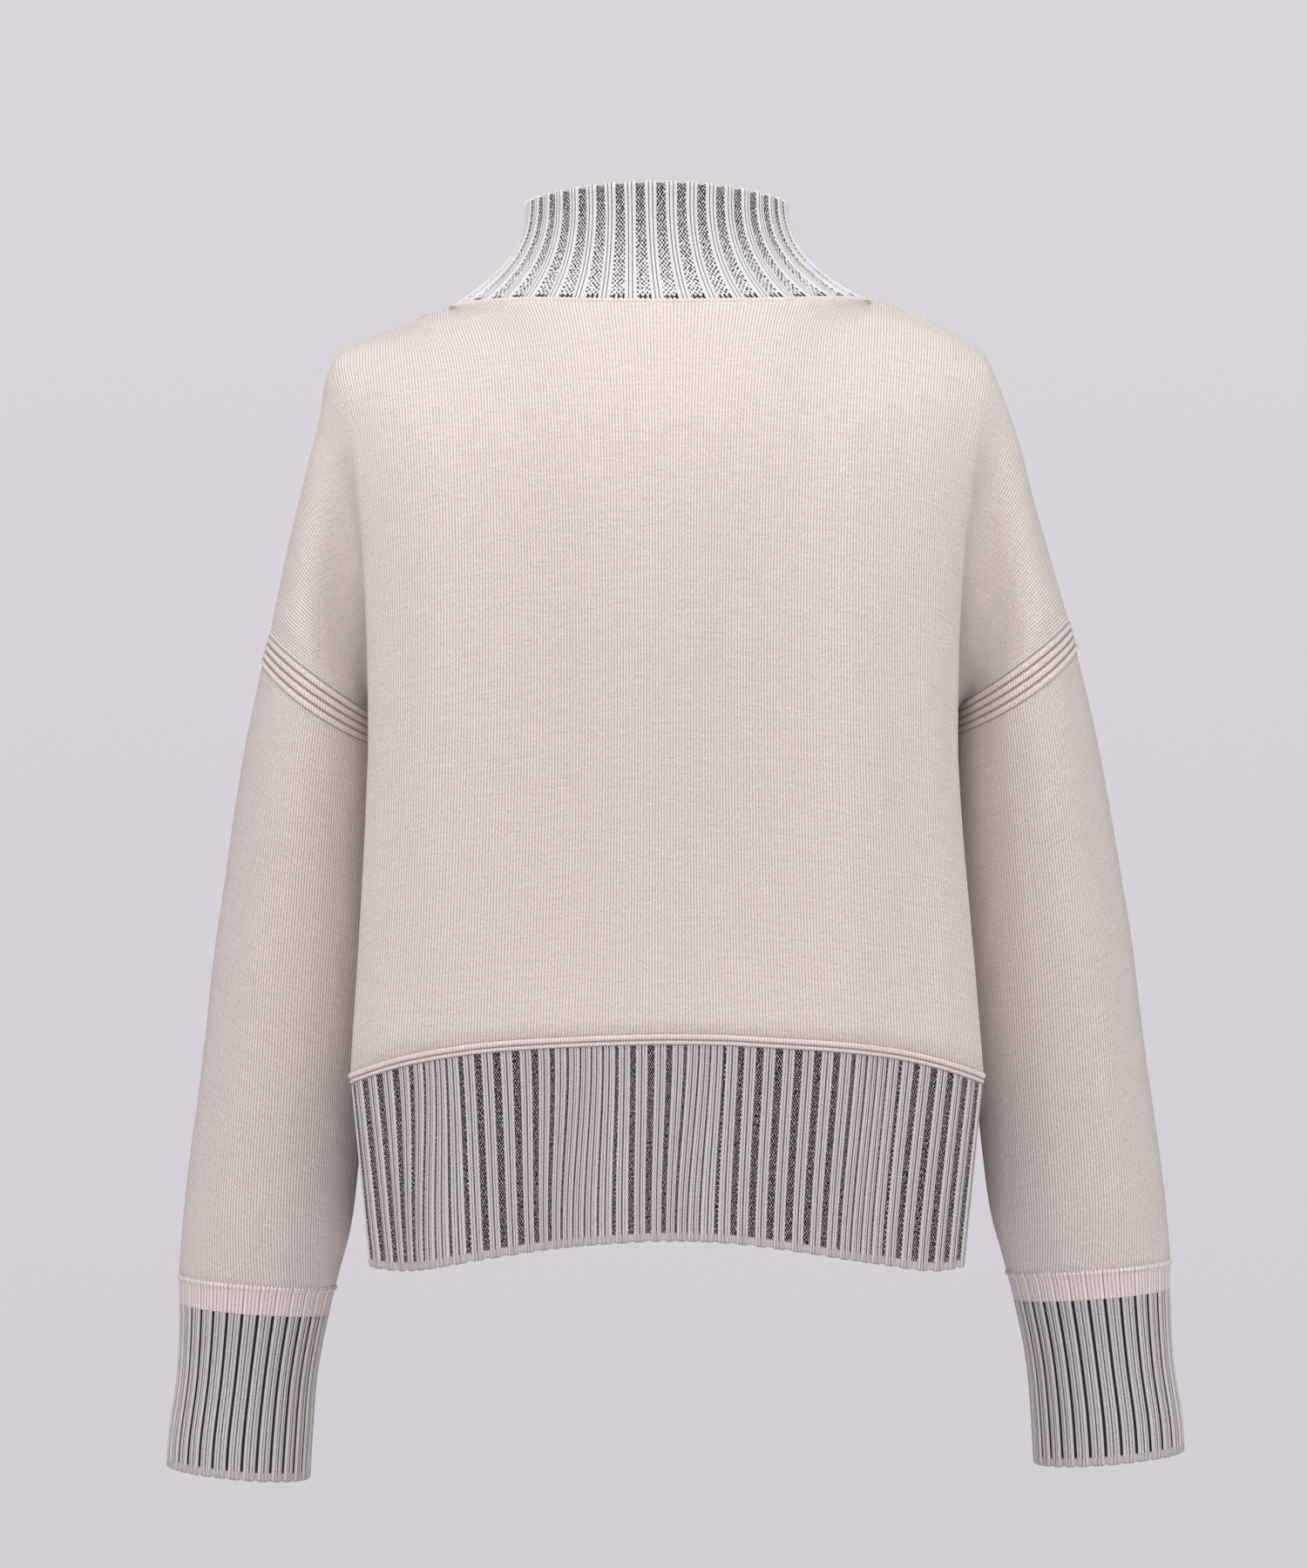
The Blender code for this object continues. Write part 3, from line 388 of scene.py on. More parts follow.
def band_drop(angle):
    """How far down the sleeve the armhole band reaches, measured along Z."""
    return ARMHOLE_BAND_WIDTH * np.sqrt(1 + (ARMHOLE_SLOPE * np.sin(angle)) ** 2)


def cuff_height(arm, angle, height, tilt):
    return height + arm["lift_cuff"] + tilt * np.cos(angle)


# ---- panels

def panel_wales():
    """Flat distance of each column of a half panel from the centre line."""
    quarters = np.linspace(0, 1, NECK_STEPS + 1)
    sine, _ = turn(quarters)
    neck = NECK_WALE * (0.6 * sine + 0.4 * quarters)
    shoulder = np.linspace(NECK_WALE, CORNER_WALE, 5)[1:]
    fold = np.linspace(CORNER_WALE, FOLD_WALE, 4)[1:]
    back_of_arm = np.linspace(FOLD_WALE, ARM_WALE, 4)[1:]
    armhole = np.linspace(ARM_WALE, SIDE_WALE, 5)[1:]
    return np.concatenate([neck, shoulder, fold, back_of_arm, armhole])


def panel_levels():
    upper = np.linspace(0, UNDERARM_LEVEL, ROWS_TO_UNDERARM + 1)
    return np.concatenate([upper, LEVELS_BELOW_UNDERARM])


def line(wale_table, levels):
    points = np.stack([wale_table[name] for name in "xyz"], axis=-1)
    return smooth(LEVELS, points, levels)


def neckline(front, quarters):
    """Outer edge of the neck opening, from the centre (0) to the shoulder (1 quarter)."""
    sine, cosine = turn(quarters)
    y = NECK_FRONT_Y if front else NECK_BACK_Y
    z = NECK_FRONT_Z if front else NECK_BACK_Z
    height = NECK_SIDE_Z + (z - NECK_SIDE_Z) * cosine ** 2
    return np.stack([NECK_HALF_WIDTH * sine, y * cosine, height], axis=-1)


def half_panel(front, arm):
    """Grid of a half panel's outer face, for the +X side, from the centre line to the side."""
    levels = panel_levels()
    wales = panel_wales()
    middle = (CENTRE_FRONT, MID_FRONT) if front else (CENTRE_BACK, MID_BACK)
    keys = [line(wale_table, levels) for wale_table in middle]
    corner_in = arm["corner_in"] * ease(1.0, 4.0, levels) * ease(7.0, 5.0, levels)
    shares = ((NECK_LINE, 0.0), (BLADE_LINE, 0.4), (CORNER_LINE, 1.0), (FOLD_LINE, 1.0), (ARM_LINE, 0.4))
    for wale_table, share in shares:
        points = line(wale_table, levels)
        points[:, 0] -= share * corner_in
        if front:
            points[:, 1] *= -FRONT_DEPTH
        keys.append(points)
    keys.append(side_line(front, arm, levels))
    mirrored = keys[1] * (-1, 1, 1)
    knots = (-MID_WALE,) + KEY_WALES
    rows = np.stack([smooth(knots, np.stack(row), wales) for row in zip(mirrored, *keys)])
    neck_columns = slice(0, NECK_STEPS + 1)
    wanted = neckline(front, np.linspace(0, 1, NECK_STEPS + 1))
    fade = np.clip(1 - levels / NECKLINE_FADE_LEVEL, 0, 1) ** 2
    rows[:, neck_columns] += fade[:, None, None] * (wanted - rows[0, neck_columns])
    rows[0, NECK_STEPS:, 1] = 0
    return settle_underarm(rows)


def settle_underarm(rows):
    """Even out the cloth between the fold, the armhole and the side, where it turns under the arm."""
    near = slice(ROWS_TO_UNDERARM - 2, ROWS_TO_UNDERARM + 2)
    columns = slice(rows.shape[1] - 1 - UNDERARM_COLUMNS, rows.shape[1] - 1)
    for _ in range(UNDERARM_PASSES):
        around = np.zeros_like(rows)
        around[1:-1, 1:-1] = (rows[:-2, 1:-1] + rows[2:, 1:-1] + rows[1:-1, :-2] + rows[1:-1, 2:]) / 4
        rows[near, columns] = (rows[near, columns] + around[near, columns]) / 2
    return rows


def side_line(front, arm, levels):
    """The outermost wale: round the armhole to the underarm, then down the side seam."""
    angle = np.pi * np.clip(levels / UNDERARM_LEVEL, 0, 1)
    loop = sleeve_point({**arm, "sign": 1.0}, -angle if front else angle, armhole_height(arm, angle))
    seam = smooth(SIDE_SEAM["level"], np.stack([SIDE_SEAM["x"], 0 * SIDE_SEAM["x"], SIDE_SEAM["z"]], -1),
                  np.maximum(levels, UNDERARM_LEVEL))
    seam[:, 0] += (loop[-1, 0] - SIDE_SEAM["x"][0]) * ease(HEM_LEVEL, UNDERARM_LEVEL, levels)
    return np.where(levels[:, None] <= UNDERARM_LEVEL, loop, seam)


def fold_depth(folds, x, level):
    """How far the soft vertical folds move the cloth outward, by column and level."""
    reach = ease(FOLD_START_LEVEL, FOLD_FULL_LEVEL, level)
    half = panel_wales()
    wale = np.concatenate([half[:0:-1], half])
    reach = reach * ease(FOLD_END_WALE, FOLD_FADE_WALE, wale)
    total = np.zeros_like(x)
    for top, hem, height, width in zip(*folds.values()):
        centre = top + (hem - top) * ease(FOLD_START_LEVEL, FOLD_FULL_LEVEL, level)
        total += height * np.exp(-((x - centre) / width) ** 2)
    return total * reach


def panel_grid(front):
    """Grid of a whole panel's outer face, with columns from the right side to the left."""
    left = half_panel(front, ARMS["left"])
    right = half_panel(front, ARMS["right"]) * (-1, 1, 1)
    grid = np.concatenate([right[:, :0:-1], left], axis=1)
    levels = panel_levels()[:, None]
    folds = FRONT_FOLDS if front else BACK_FOLDS
    grid[..., 1] += (-1 if front else 1) * fold_depth(folds, grid[..., 0], levels)
    return grid


# ---- hem and collar

def hem_loop(back, front):
    """Outer edge of both panels at the welt, once round: back from left to right, then front."""
    return np.concatenate([back[-1, ::-1], front[-1, 1:-1]])


def hem_bottom_loop():
    """Bottom edge of the hem band at the same columns as the panels."""
    wales = panel_wales()
    loops = []
    for front in (False, True):
        points = np.stack([HEM_BOTTOM[name] for name in "xyz"], axis=-1)
        if front:
            points = points * (1, -FRONT_DEPTH, 1) + (0, 0, HEM_FRONT_LIFT)
            points[-1, 2] -= HEM_FRONT_LIFT
        mirrored = points[1] * (-1, 1, 1)
        knots = np.concatenate([[-NECK_WALE], HEM_BOTTOM["wale"]])
        half = smooth(knots, np.vstack([mirrored, points]), wales)
        whole = np.concatenate([half[:0:-1] * (-1, 1, 1), half])
        folds = FRONT_FOLDS if front else BACK_FOLDS
        whole[:, 1] += (-1 if front else 1) * fold_depth(folds, whole[:, 0], HEM_LEVEL)
        loops.append(whole)
    return np.concatenate([loops[0][::-1], loops[1][1:-1]])


def on_polyline(loop, known, at):
    """Points of a closed polyline at given places, where known says how far on each corner is."""
    wrapped = np.vstack([loop, loop[:1]])
    return np.stack([np.interp(at, known, wrapped[:, k]) for k in range(3)], axis=-1)


def loop_length(loop):
    return np.linalg.norm(np.roll(loop, -1, axis=0) - loop, axis=1).sum()


def closing(points):
    """How strongly the hem's ribs are drawn together at each point, 0 to 1."""
    amount = np.zeros(len(points))
    y = points[:, 1]
    for closings, on_side in ((BACK_CLOSINGS, y > HEM_CLOSING_Y), (FRONT_CLOSINGS, y < -HEM_CLOSING_Y)):
        for x, width in zip(closings["x"], closings["width"]):
            amount += on_side * np.exp(-((points[:, 0] - x) / width) ** 2)
    return np.clip(amount, 0, 1)


def rib_edges(loop, count):
    """Share of the loop's length where each rib starts, closer where the ribs are drawn in."""
    samples = np.linspace(0, loop_length(loop), HEM_SAMPLES)
    points = on_polyline(loop, lengths_across(loop, closed=True), samples)
    density = 1 / (1 - HEM_CLOSING * closing(points))
    ribs = np.concatenate([[0], np.cumsum((density[1:] + density[:-1]) / 2)])
    return np.interp(np.linspace(0, ribs[-1], count + 1), ribs, samples / samples[-1])


def collar_rings(heights):
    """Rings of the collar's outer face. Height is 0 at the neckline and 1 at the rim."""
    quarter = np.linspace(0, 1, NECK_STEPS + 1)
    back = neckline(False, quarter)
    front = neckline(True, quarter)
    flip = np.array((-1, 1, 1))
    base = np.concatenate([back * flip, (front * flip)[-2::-1], front[1:], back[-2:0:-1]])
    sine, cosine = turn(4 * np.arange(len(base)) / len(base))
    rim_y = np.where(cosine > 0, RIM_BACK_Y, -RIM_FRONT_Y) * cosine
    rim_z = RIM_SIDE_Z + (np.where(cosine > 0, RIM_BACK_Z, RIM_FRONT_Z) - RIM_SIDE_Z) * cosine ** 2
    rim = np.stack([RIM_CENTRE_X - RIM_HALF_WIDTH * sine, rim_y, rim_z], axis=-1)
    rings = []
    for height in heights:
        ring = rim + (base - rim) * (1 - height) ** COLLAR_FLARE
        ring[:, 2] = base[:, 2] + (rim[:, 2] - base[:, 2]) * height
        rings.append(ring)
    return np.stack(rings)


# ---- fine sizes

CLOTH = 0.0018
WALE_PITCH = 0.00178
COURSE_PITCH = 0.00145
PANEL_ROWS = 97
PANEL_COLUMNS = 229
PANEL_SIDE_SHARE = 0.03
PANEL_END_SHARE = 0.05
NECK_CORNER_ROWS = 14
SLEEVE_COLUMNS = 128
SLEEVE_ROWS = 73
SLEEVE_INNER_STEP = 4
BAND_COLUMNS = 144
HEM_COLUMNS = 480
SEAM_ROLL = 0.45
FREE_ROLL = 1.0
SEAM_ROLLS = (SEAM_ROLL, SEAM_ROLL)
ROLL_ANGLES = (40, 90, 140)
ROLL_COURSES = np.array((0.6, 1.2, 1.8))
RIDGE_POWER = 0.6
SEAM_RIDGE_POWER = 0.7

# The soft fold down the back of each shoulder drop: where it stands out and dips, by height.
DROP_FOLD = table(
    "z ridge_x dip_x height",
    (-0.050, 0.196, 0.188, 0.0000),
    (-0.100, 0.203, 0.190, 0.0016),
    (-0.160, 0.212, 0.192, 0.0026),
    (-0.215, 0.220, 0.195, 0.0026),
    (-0.300, 0.226, 0.198, 0.0000),
)
DROP_FOLD_WIDTH = 0.011
DROP_DIP_SHARE = 0.8
DROP_FRONT_SHARE = 0.8

# Soft troughs down the panels: where each one runs at the shoulder and at the welt, and its depth.
BACK_TROUGHS = table(
    "top_x low_x depth width",
    (0.150, 0.157, 0.0016, 0.011),
    (0.074, 0.068, 0.0016, 0.021),
    (-0.036, -0.046, 0.0012, 0.023),
    (-0.136, -0.145, 0.0016, 0.012),
)
FRONT_TROUGHS = table(
    "top_x low_x depth width",
    (0.132, 0.146, 0.0014, 0.013),
    (0.046, 0.058, 0.0011, 0.024),
    (-0.060, -0.052, 0.0013, 0.020),
    (-0.128, -0.139, 0.0014, 0.014),
)
# The wearer's left shoulder hangs a little fuller at its corner and dips beside the neck, and the
# neck's edge reaches further out there.
SHOULDER_SHAPE = table(
    "x z out up width",
    (0.201, -0.044, 0.0062, 0.0030, 0.024),
    (0.150, -0.010, 0.0, -0.0024, 0.020),
    (0.125, -0.004, 0.0080, -0.0035, 0.028),
)
TROUGH_TOP_Z = -0.05
TROUGH_FULL_Z = -0.24
TROUGH_LOW_Z = -0.44

# Sections of the ribbed pieces, and the relief of each piece
WALES_PER_RIB = 6
CREST_WALES = 3
CREST_EDGE = (1.62, 1.42)
BASE_DOTS_START = 2.6
BASE_DOTS_FULL = 2.2
PLAIN_RELIEF = 0.0005
RIB_RELIEF = 0.0006
CREST_POINTS = 13
VALLEY_POINTS = 4
CREST_SHOULDER = 0.12
CREST_GROOVE = 0.30
COLLAR_CREST_AT_BASE = 0.45
COLLAR_CREST_AT_RIM = 0.58
COLLAR_STEPS = 240
COLLAR_SEAM_RIDGE = 0.0012
CUFF_CREST = 0.80
CUFF_BAND_CREST = 0.94
WELT_GROOVE = 0.60
WELT_RINGS = 17
WELT_UPPER_SIZE = 1.15
WELT_LOWER_SIZE = 0.75
WELT_SINK = 0.0002
SEAM_RINGS = 9
SEAM_SINK = 0.0004
SEAM_END = 0.02
SEAM_FIRST_COURSE = 0.4
SEAM_COURSES = 1.2
BAND_ROWS_PER_RIDGE = 8
BAND_LAST_RIDGE_SIZE = 1.25
BAND_SINK = 0.0003
HEM_CREST_WIDER = 1.06
HEM_CREST_MOST = 0.86
FREE_EDGE_COURSES = 2.6
NO_FREE_EDGE = 999
HEM_LEAN = np.array((0.014, 0.0, 0.0))
RIB_DEFAULTS = {
    "centre": 0.5,
    "bumps": 2,
    "relief": 1.0,
    "rows": 25,
    "scallop": 0.0,
    "edge_relief": 1.0,
    "ridge": 0.0,
}
FREE_RIM = {"rolls": (SEAM_ROLL, FREE_ROLL), "scallop": 0.0004, "edge_relief": 0.45}
HEM_FACTS = {**RIB_DEFAULTS, **FREE_RIM, "ribs": HEM_RIBS, "courses": 84}
CUFF_FACTS = {**RIB_DEFAULTS, **FREE_RIM, "ribs": CUFF_RIBS, "courses": 70}
COLLAR_FACTS = {
    **RIB_DEFAULTS,
    "ribs": COLLAR_RIBS,
    "courses": 52,
    "centre": 0.71,
    "bumps": 3,
    "rolls": (FREE_ROLL, SEAM_ROLL),
    "scallop": -0.0012,
}
CUFF_BAND_ROWS = 21
CUFF_RIDGE_SHARE = 0.2
CUFF_RIDGE_PLACES = np.clip(np.linspace(0, 1 / CUFF_RIDGE_SHARE, CUFF_BAND_ROWS), 0, 1)
CUFF_BAND_FACTS = {
    **RIB_DEFAULTS,
    "ribs": CUFF_RIBS,
    "courses": 13,
    "relief": 0.28,
    "rows": CUFF_BAND_ROWS,
    "rolls": SEAM_ROLLS,
    "ridge": CUFF_BAND_RIDGE * np.sin(np.pi * CUFF_RIDGE_PLACES) ** SEAM_RIDGE_POWER,
}


# ---- fine grids

def refine(grid, rows, columns, closed=False):
    """The same surface on a finer grid, smooth through every point of the coarse one."""
    down = np.linspace(0, len(grid) - 1, rows)
    fine = resample(grid, down)
    turned = fine.swapaxes(0, 1)
    if closed:
        turned = np.concatenate([turned[-2:], turned, turned[:3]])
        across = 2 + np.arange(columns) * grid.shape[1] / columns
    else:
        across = np.linspace(0, len(turned) - 1, columns)
    return resample(turned, across).swapaxes(0, 1)


def resample(rows, at):
    """Rows of a grid at fractional row numbers."""
    flat = rows.reshape(len(rows), -1)
    return smooth(np.arange(len(rows)), flat, at).reshape(len(at), *rows.shape[1:])


def lengths_down(grid):
    """Distance of each point from the top of its column, along the cloth."""
    steps = np.linalg.norm(np.diff(grid, axis=0), axis=2)
    return np.concatenate([np.zeros((1, grid.shape[1])), np.cumsum(steps, axis=0)])


def lengths_across(row, closed=False):
    """Distance of each point from the start of its row; a closed row comes back with its whole length."""
    if closed:
        row = np.vstack([row, row[:1]])
    return np.concatenate([[0], np.cumsum(np.linalg.norm(np.diff(row, axis=0), axis=1))])


def edge_roll(outer, inner, beside, amount):
    """Rows that round the cloth's edge over, from its outer face to its inner face."""
    middle = (outer + inner) / 2
    half = (outer - inner) / 2
    reach = amount * np.linalg.norm(half, axis=-1, keepdims=True)
    away = unit(outer - beside)
    angles = np.radians(ROLL_ANGLES)
    return [middle + half * np.cos(angle) + away * reach * np.sin(angle) for angle in angles]


def cloth_wall(name, outer, inner, knit, closed, rolls, material, outward_sign):
    """A closed wall of cloth from its outer rows, fewer inner rows and its knit coordinates.

    knit holds the wale and course of every outer point; a closed piece has one column more there.
    rolls says how far the top and bottom edges round out.
    """
    last = len(outer) - 1
    picked = np.linspace(0, last, len(inner)).round().astype(int)
    bottom = edge_roll(outer[-1], inner[-1], outer[-2], rolls[1])
    top = edge_roll(inner[0], outer[0], outer[1], rolls[0])
    rows = np.concatenate([outer, bottom, inner[::-1], top])
    sources = np.concatenate([np.arange(last + 1), [last] * len(bottom), picked[::-1], [0] * len(top)])
    beyond = np.concatenate([np.zeros(last + 1), ROLL_COURSES, np.zeros(len(inner)), -ROLL_COURSES[::-1]])
    coordinates = knit[sources].copy()
    coordinates[..., 1] += beyond[:, None]
    count, columns = rows.shape[:2]
    across = columns if closed else columns - 1
    row, column = np.meshgrid(np.arange(count), np.arange(across), indexing="ij")
    row, column = row.ravel(), column.ravel()
    next_row, next_column = (row + 1) % count, (column + 1) % columns
    corners = [(row, column, column), (next_row, column, column),
               (next_row, next_column, column + 1), (row, next_column, column + 1)]
    if outward_sign < 0:
        corners = corners[::-1]
    faces = np.stack([r * columns + c for r, c, _ in corners], axis=1)
    # The last row of the profile joins the first, so its coordinates go on past the top edge.
    places = np.stack([coordinates[r, k] for r, _, k in corners], axis=1)
    faces = faces.tolist()
    places = places.reshape(-1, 2)
    if not closed:
        cap_faces, cap_places = end_caps(count, columns, last, len(bottom), picked, coordinates,
                                         outward_sign)
        faces += cap_faces
        places = np.vstack([places, cap_places])
    return knitted_object(name, rows.reshape(-1, 3), faces, places, material)


def knitted_object(name, points, faces, places, material):
    """A smooth object with its knit coordinates, one for each corner of each face."""
    mesh = bpy.data.meshes.new(name)
    mesh.from_pydata(points.tolist(), [], faces)
    layer = mesh.uv_layers.new(name=KNIT_MAP)
    layer.uv.foreach_set("vector", places.astype(np.float32).ravel())
    mesh.materials.append(material)
    mesh.shade_smooth()
    mesh.update()
    return add_object(name, mesh)


def add_object(name, data):
    made = bpy.data.objects.new(name, data)
    bpy.context.scene.collection.objects.link(made)
    return made


def end_caps(count, columns, last, roll, picked, coordinates, outward_sign):
    """Faces that shut the side edges of an open grid, joining its outer rows to its inner rows."""
    faces = []
    places = []
    inner_start = last + 1 + roll
    inner_rows = inner_start + np.arange(len(picked))[::-1]
    for column, flip in ((0, False), (columns - 1, True)):
        for k in range(len(picked) - 1):
            outer_run = list(range(picked[k], picked[k + 1] + 1))
            ring = outer_run + [inner_rows[k + 1], inner_rows[k]]
            faces.append((ring, flip, column))
        faces.append(([last] + list(range(last + 1, inner_start + 1)), flip, column))
        faces.append(([inner_rows[0]] + list(range(inner_rows[0] + 1, count)) + [0], flip, column))
    made = []
    for ring, flip, column in faces:
        ring = ring[::-1] if flip != (outward_sign < 0) else ring
        made.append([int(r) * columns + column for r in ring])
        places += [coordinates[r, column] for r in ring]
    return made, np.array(places)


# ---- materials

KNIT_MAP = "knit"


class Field:
    """A number or vector that a material works out at each point, with ordinary arithmetic."""

    def __init__(self, tree, socket):
        self.tree = tree
        self.socket = socket

    def math(self, operation, *others, clamp=False):
        node = self.tree.nodes.new("ShaderNodeMath")
        node.operation = operation
        node.use_clamp = clamp
        for place, value in enumerate((self,) + others):
            if isinstance(value, Field):
                self.tree.links.new(value.socket, node.inputs[place])
            else:
                node.inputs[place].default_value = value
        return Field(self.tree, node.outputs[0])

    def __add__(self, other):
        return self.math("ADD", other)

    def __sub__(self, other):
        return self.math("SUBTRACT", other)

    def __mul__(self, other):
        return self.math("MULTIPLY", other)

    def fraction(self):
        return self.math("FRACT")

    def wave(self):
        """Sine that repeats with every whole number."""
        return (self * (2 * math.pi)).math("SINE")

    def size(self):
        return self.math("ABSOLUTE")

    def ease(self, low, high):
        """0 at low, 1 at high and a soft step between; low may be above high."""
        node = self.tree.nodes.new("ShaderNodeMapRange")
        node.interpolation_type = "SMOOTHSTEP"
        flipped = low > high
        for name, value in (("From Min", min(low, high)), ("From Max", max(low, high)),
                            ("To Min", float(flipped)), ("To Max", float(not flipped))):
            node.inputs[name].default_value = value
        self.tree.links.new(self.socket, node.inputs["Value"])
        return Field(self.tree, node.outputs["Result"])


class Knit:
    """A knit material being built: its coordinates, colours and relief."""

    def __init__(self, name, roughness=0.92, sheen=0.25):
        self.material = bpy.data.materials.new(name)
        self.material.use_nodes = True
        self.tree = self.material.node_tree
        self.shader = self.tree.nodes["Principled BSDF"]
        self.shader.inputs["Roughness"].default_value = roughness
        self.shader.inputs["Sheen Weight"].default_value = sheen
        self.shader.inputs["Sheen Roughness"].default_value = 0.5
        self.shader.inputs["Specular IOR Level"].default_value = 0.25
        place = self.tree.nodes.new("ShaderNodeUVMap")
        place.uv_map = KNIT_MAP
        parts = self.tree.nodes.new("ShaderNodeSeparateXYZ")
        self.tree.links.new(place.outputs["UV"], parts.inputs[0])
        self.wale = Field(self.tree, parts.outputs["X"])
        self.course = Field(self.tree, parts.outputs["Y"])
        self.knit_vector = place.outputs["UV"]

    def noise(self, scale, detail=2.0, stretch=None):
        """Noise about 0.5. In knit coordinates if a stretch is given, else in the object's metres."""
        node = self.tree.nodes.new("ShaderNodeTexNoise")
        node.inputs["Scale"].default_value = scale
        node.inputs["Detail"].default_value = detail
        if stretch is None:
            place = self.tree.nodes.new("ShaderNodeTexCoord")
            self.tree.links.new(place.outputs["Object"], node.inputs["Vector"])
        else:
            mapping = self.tree.nodes.new("ShaderNodeMapping")
            mapping.inputs["Scale"].default_value = (*stretch, 1)
            self.tree.links.new(self.knit_vector, mapping.inputs["Vector"])
            self.tree.links.new(mapping.outputs[0], node.inputs["Vector"])
        return Field(self.tree, node.outputs["Fac"])

    def mix(self, amount, low, high):
        """A colour from low to high by amount."""
        node = self.tree.nodes.new("ShaderNodeMix")
        node.data_type = "RGBA"
        self.tree.links.new(amount.socket, node.inputs[0])
        for place, value in ((6, low), (7, high)):
            if isinstance(value, tuple):
                node.inputs[place].default_value = (*value, 1)
            else:
                self.tree.links.new(value, node.inputs[place])
        return node.outputs[2]

    def stitches(self, tilt=1.0):
        """Height of plain knitting: each wale is round, with a slanted leg to each side of its middle."""
        from_middle = (self.wale.fraction() - 0.5).size() * 2
        round_wale = (from_middle * 0.25 + 0.25).wave()
        legs = (self.course + from_middle * tilt).wave() * 0.24 + 0.76
        return round_wale * legs

    def finish(self, colour, height, depth):
        """Join the colour and the relief, whose full height is depth in metres, to the shader."""
        self.tree.links.new(colour, self.shader.inputs["Base Color"])
        bump = self.tree.nodes.new("ShaderNodeBump")
        bump.inputs["Strength"].default_value = 1.0
        bump.inputs["Distance"].default_value = depth
        self.tree.links.new(height.socket, bump.inputs["Height"])
        self.tree.links.new(bump.outputs[0], self.shader.inputs["Normal"])
        return self.material


CREAM = (0.880, 0.803, 0.738)
CREAM_SHADE = (0.540, 0.463, 0.400)
EDGE_CREAM = (0.790, 0.708, 0.648)
EDGE_SHADE = (0.350, 0.287, 0.242)
HEM_LIGHT = (0.620, 0.576, 0.567)
HEM_SHADE = (0.090, 0.078, 0.080)
HEM_DARK = (0.010, 0.007, 0.007)
HEM_SPECK = (0.520, 0.456, 0.452)
CUFF_LIGHT = (0.610, 0.560, 0.553)
CUFF_SPECK = (0.030, 0.025, 0.027)
COLLAR_LIGHT = (0.700, 0.682, 0.676)
COLLAR_SHADE = (0.200, 0.188, 0.190)
COLLAR_GREY = (0.030, 0.025, 0.025)
COLLAR_SPECK = (0.700, 0.655, 0.648)
# The cuff band is cream throughout: its darker valley colour below is painted shade in the grooves between
# its ribs.
BAND_GROOVE_SHADE = (0.500, 0.430, 0.378)
BAND_SPECK = (0.560, 0.490, 0.436)
HEM_LINES = ((0.0, 0.28, 1.5), (0.75, 0.20, 0.8))
CUFF_LINES = ((0.0, 0.26, 1.3), (0.75, 0.20, 0.8))
COLLAR_LINES = ((0.5, 0.19, 1.3),)
BAND_LINES = ((0.0, 0.24, 0.7), (0.75, 0.22, 0.7))


def stockinette():
    """Fine cream knitting of the panels and sleeves."""
    knit = Knit("cream_stockinette")
    stitch = knit.stitches()
    fuzz = knit.noise(1.0, 0.0, stretch=(1.3, 1.1)) - 0.5
    streaks = knit.noise(1.0, 1.0, stretch=(0.10, 0.65)) - 0.5
    # The tone runs from CREAM_SHADE where the stitches dip to CREAM on their tops: painted shade between the
    # wales and legs. Fuzz and streaks add random tone.
    tone = (stitch * 1.15 + fuzz * 0.7 + streaks * 0.35).ease(0.0, 1.05)
    return knit.finish(knit.mix(tone, CREAM_SHADE, CREAM), stitch + fuzz * 0.2, PLAIN_RELIEF)


def edging():
    """Cream tubular ridges. Their course runs from 0 to 2 over each ridge."""
    knit = Knit("cream_ridged_edging")
    ridge = (knit.course * 0.25).wave().size().ease(0.1, 0.85)
    wale = ((knit.wale.fraction() - 0.5).size() * 0.5 + 0.25).wave()
    fuzz = knit.noise(1.0, 0.0, stretch=(1.3, 2.0)) - 0.5
    # The tone runs from EDGE_SHADE in the grooves between ridges and between wales to EDGE_CREAM on their
    # tops: painted shade in the grooves, with random fuzz.
    tone = ridge * (wale * 0.6 + 0.4) + fuzz * 0.45
    return knit.finish(knit.mix(tone.ease(0.0, 0.9), EDGE_SHADE, EDGE_CREAM), tone, PLAIN_RELIEF)


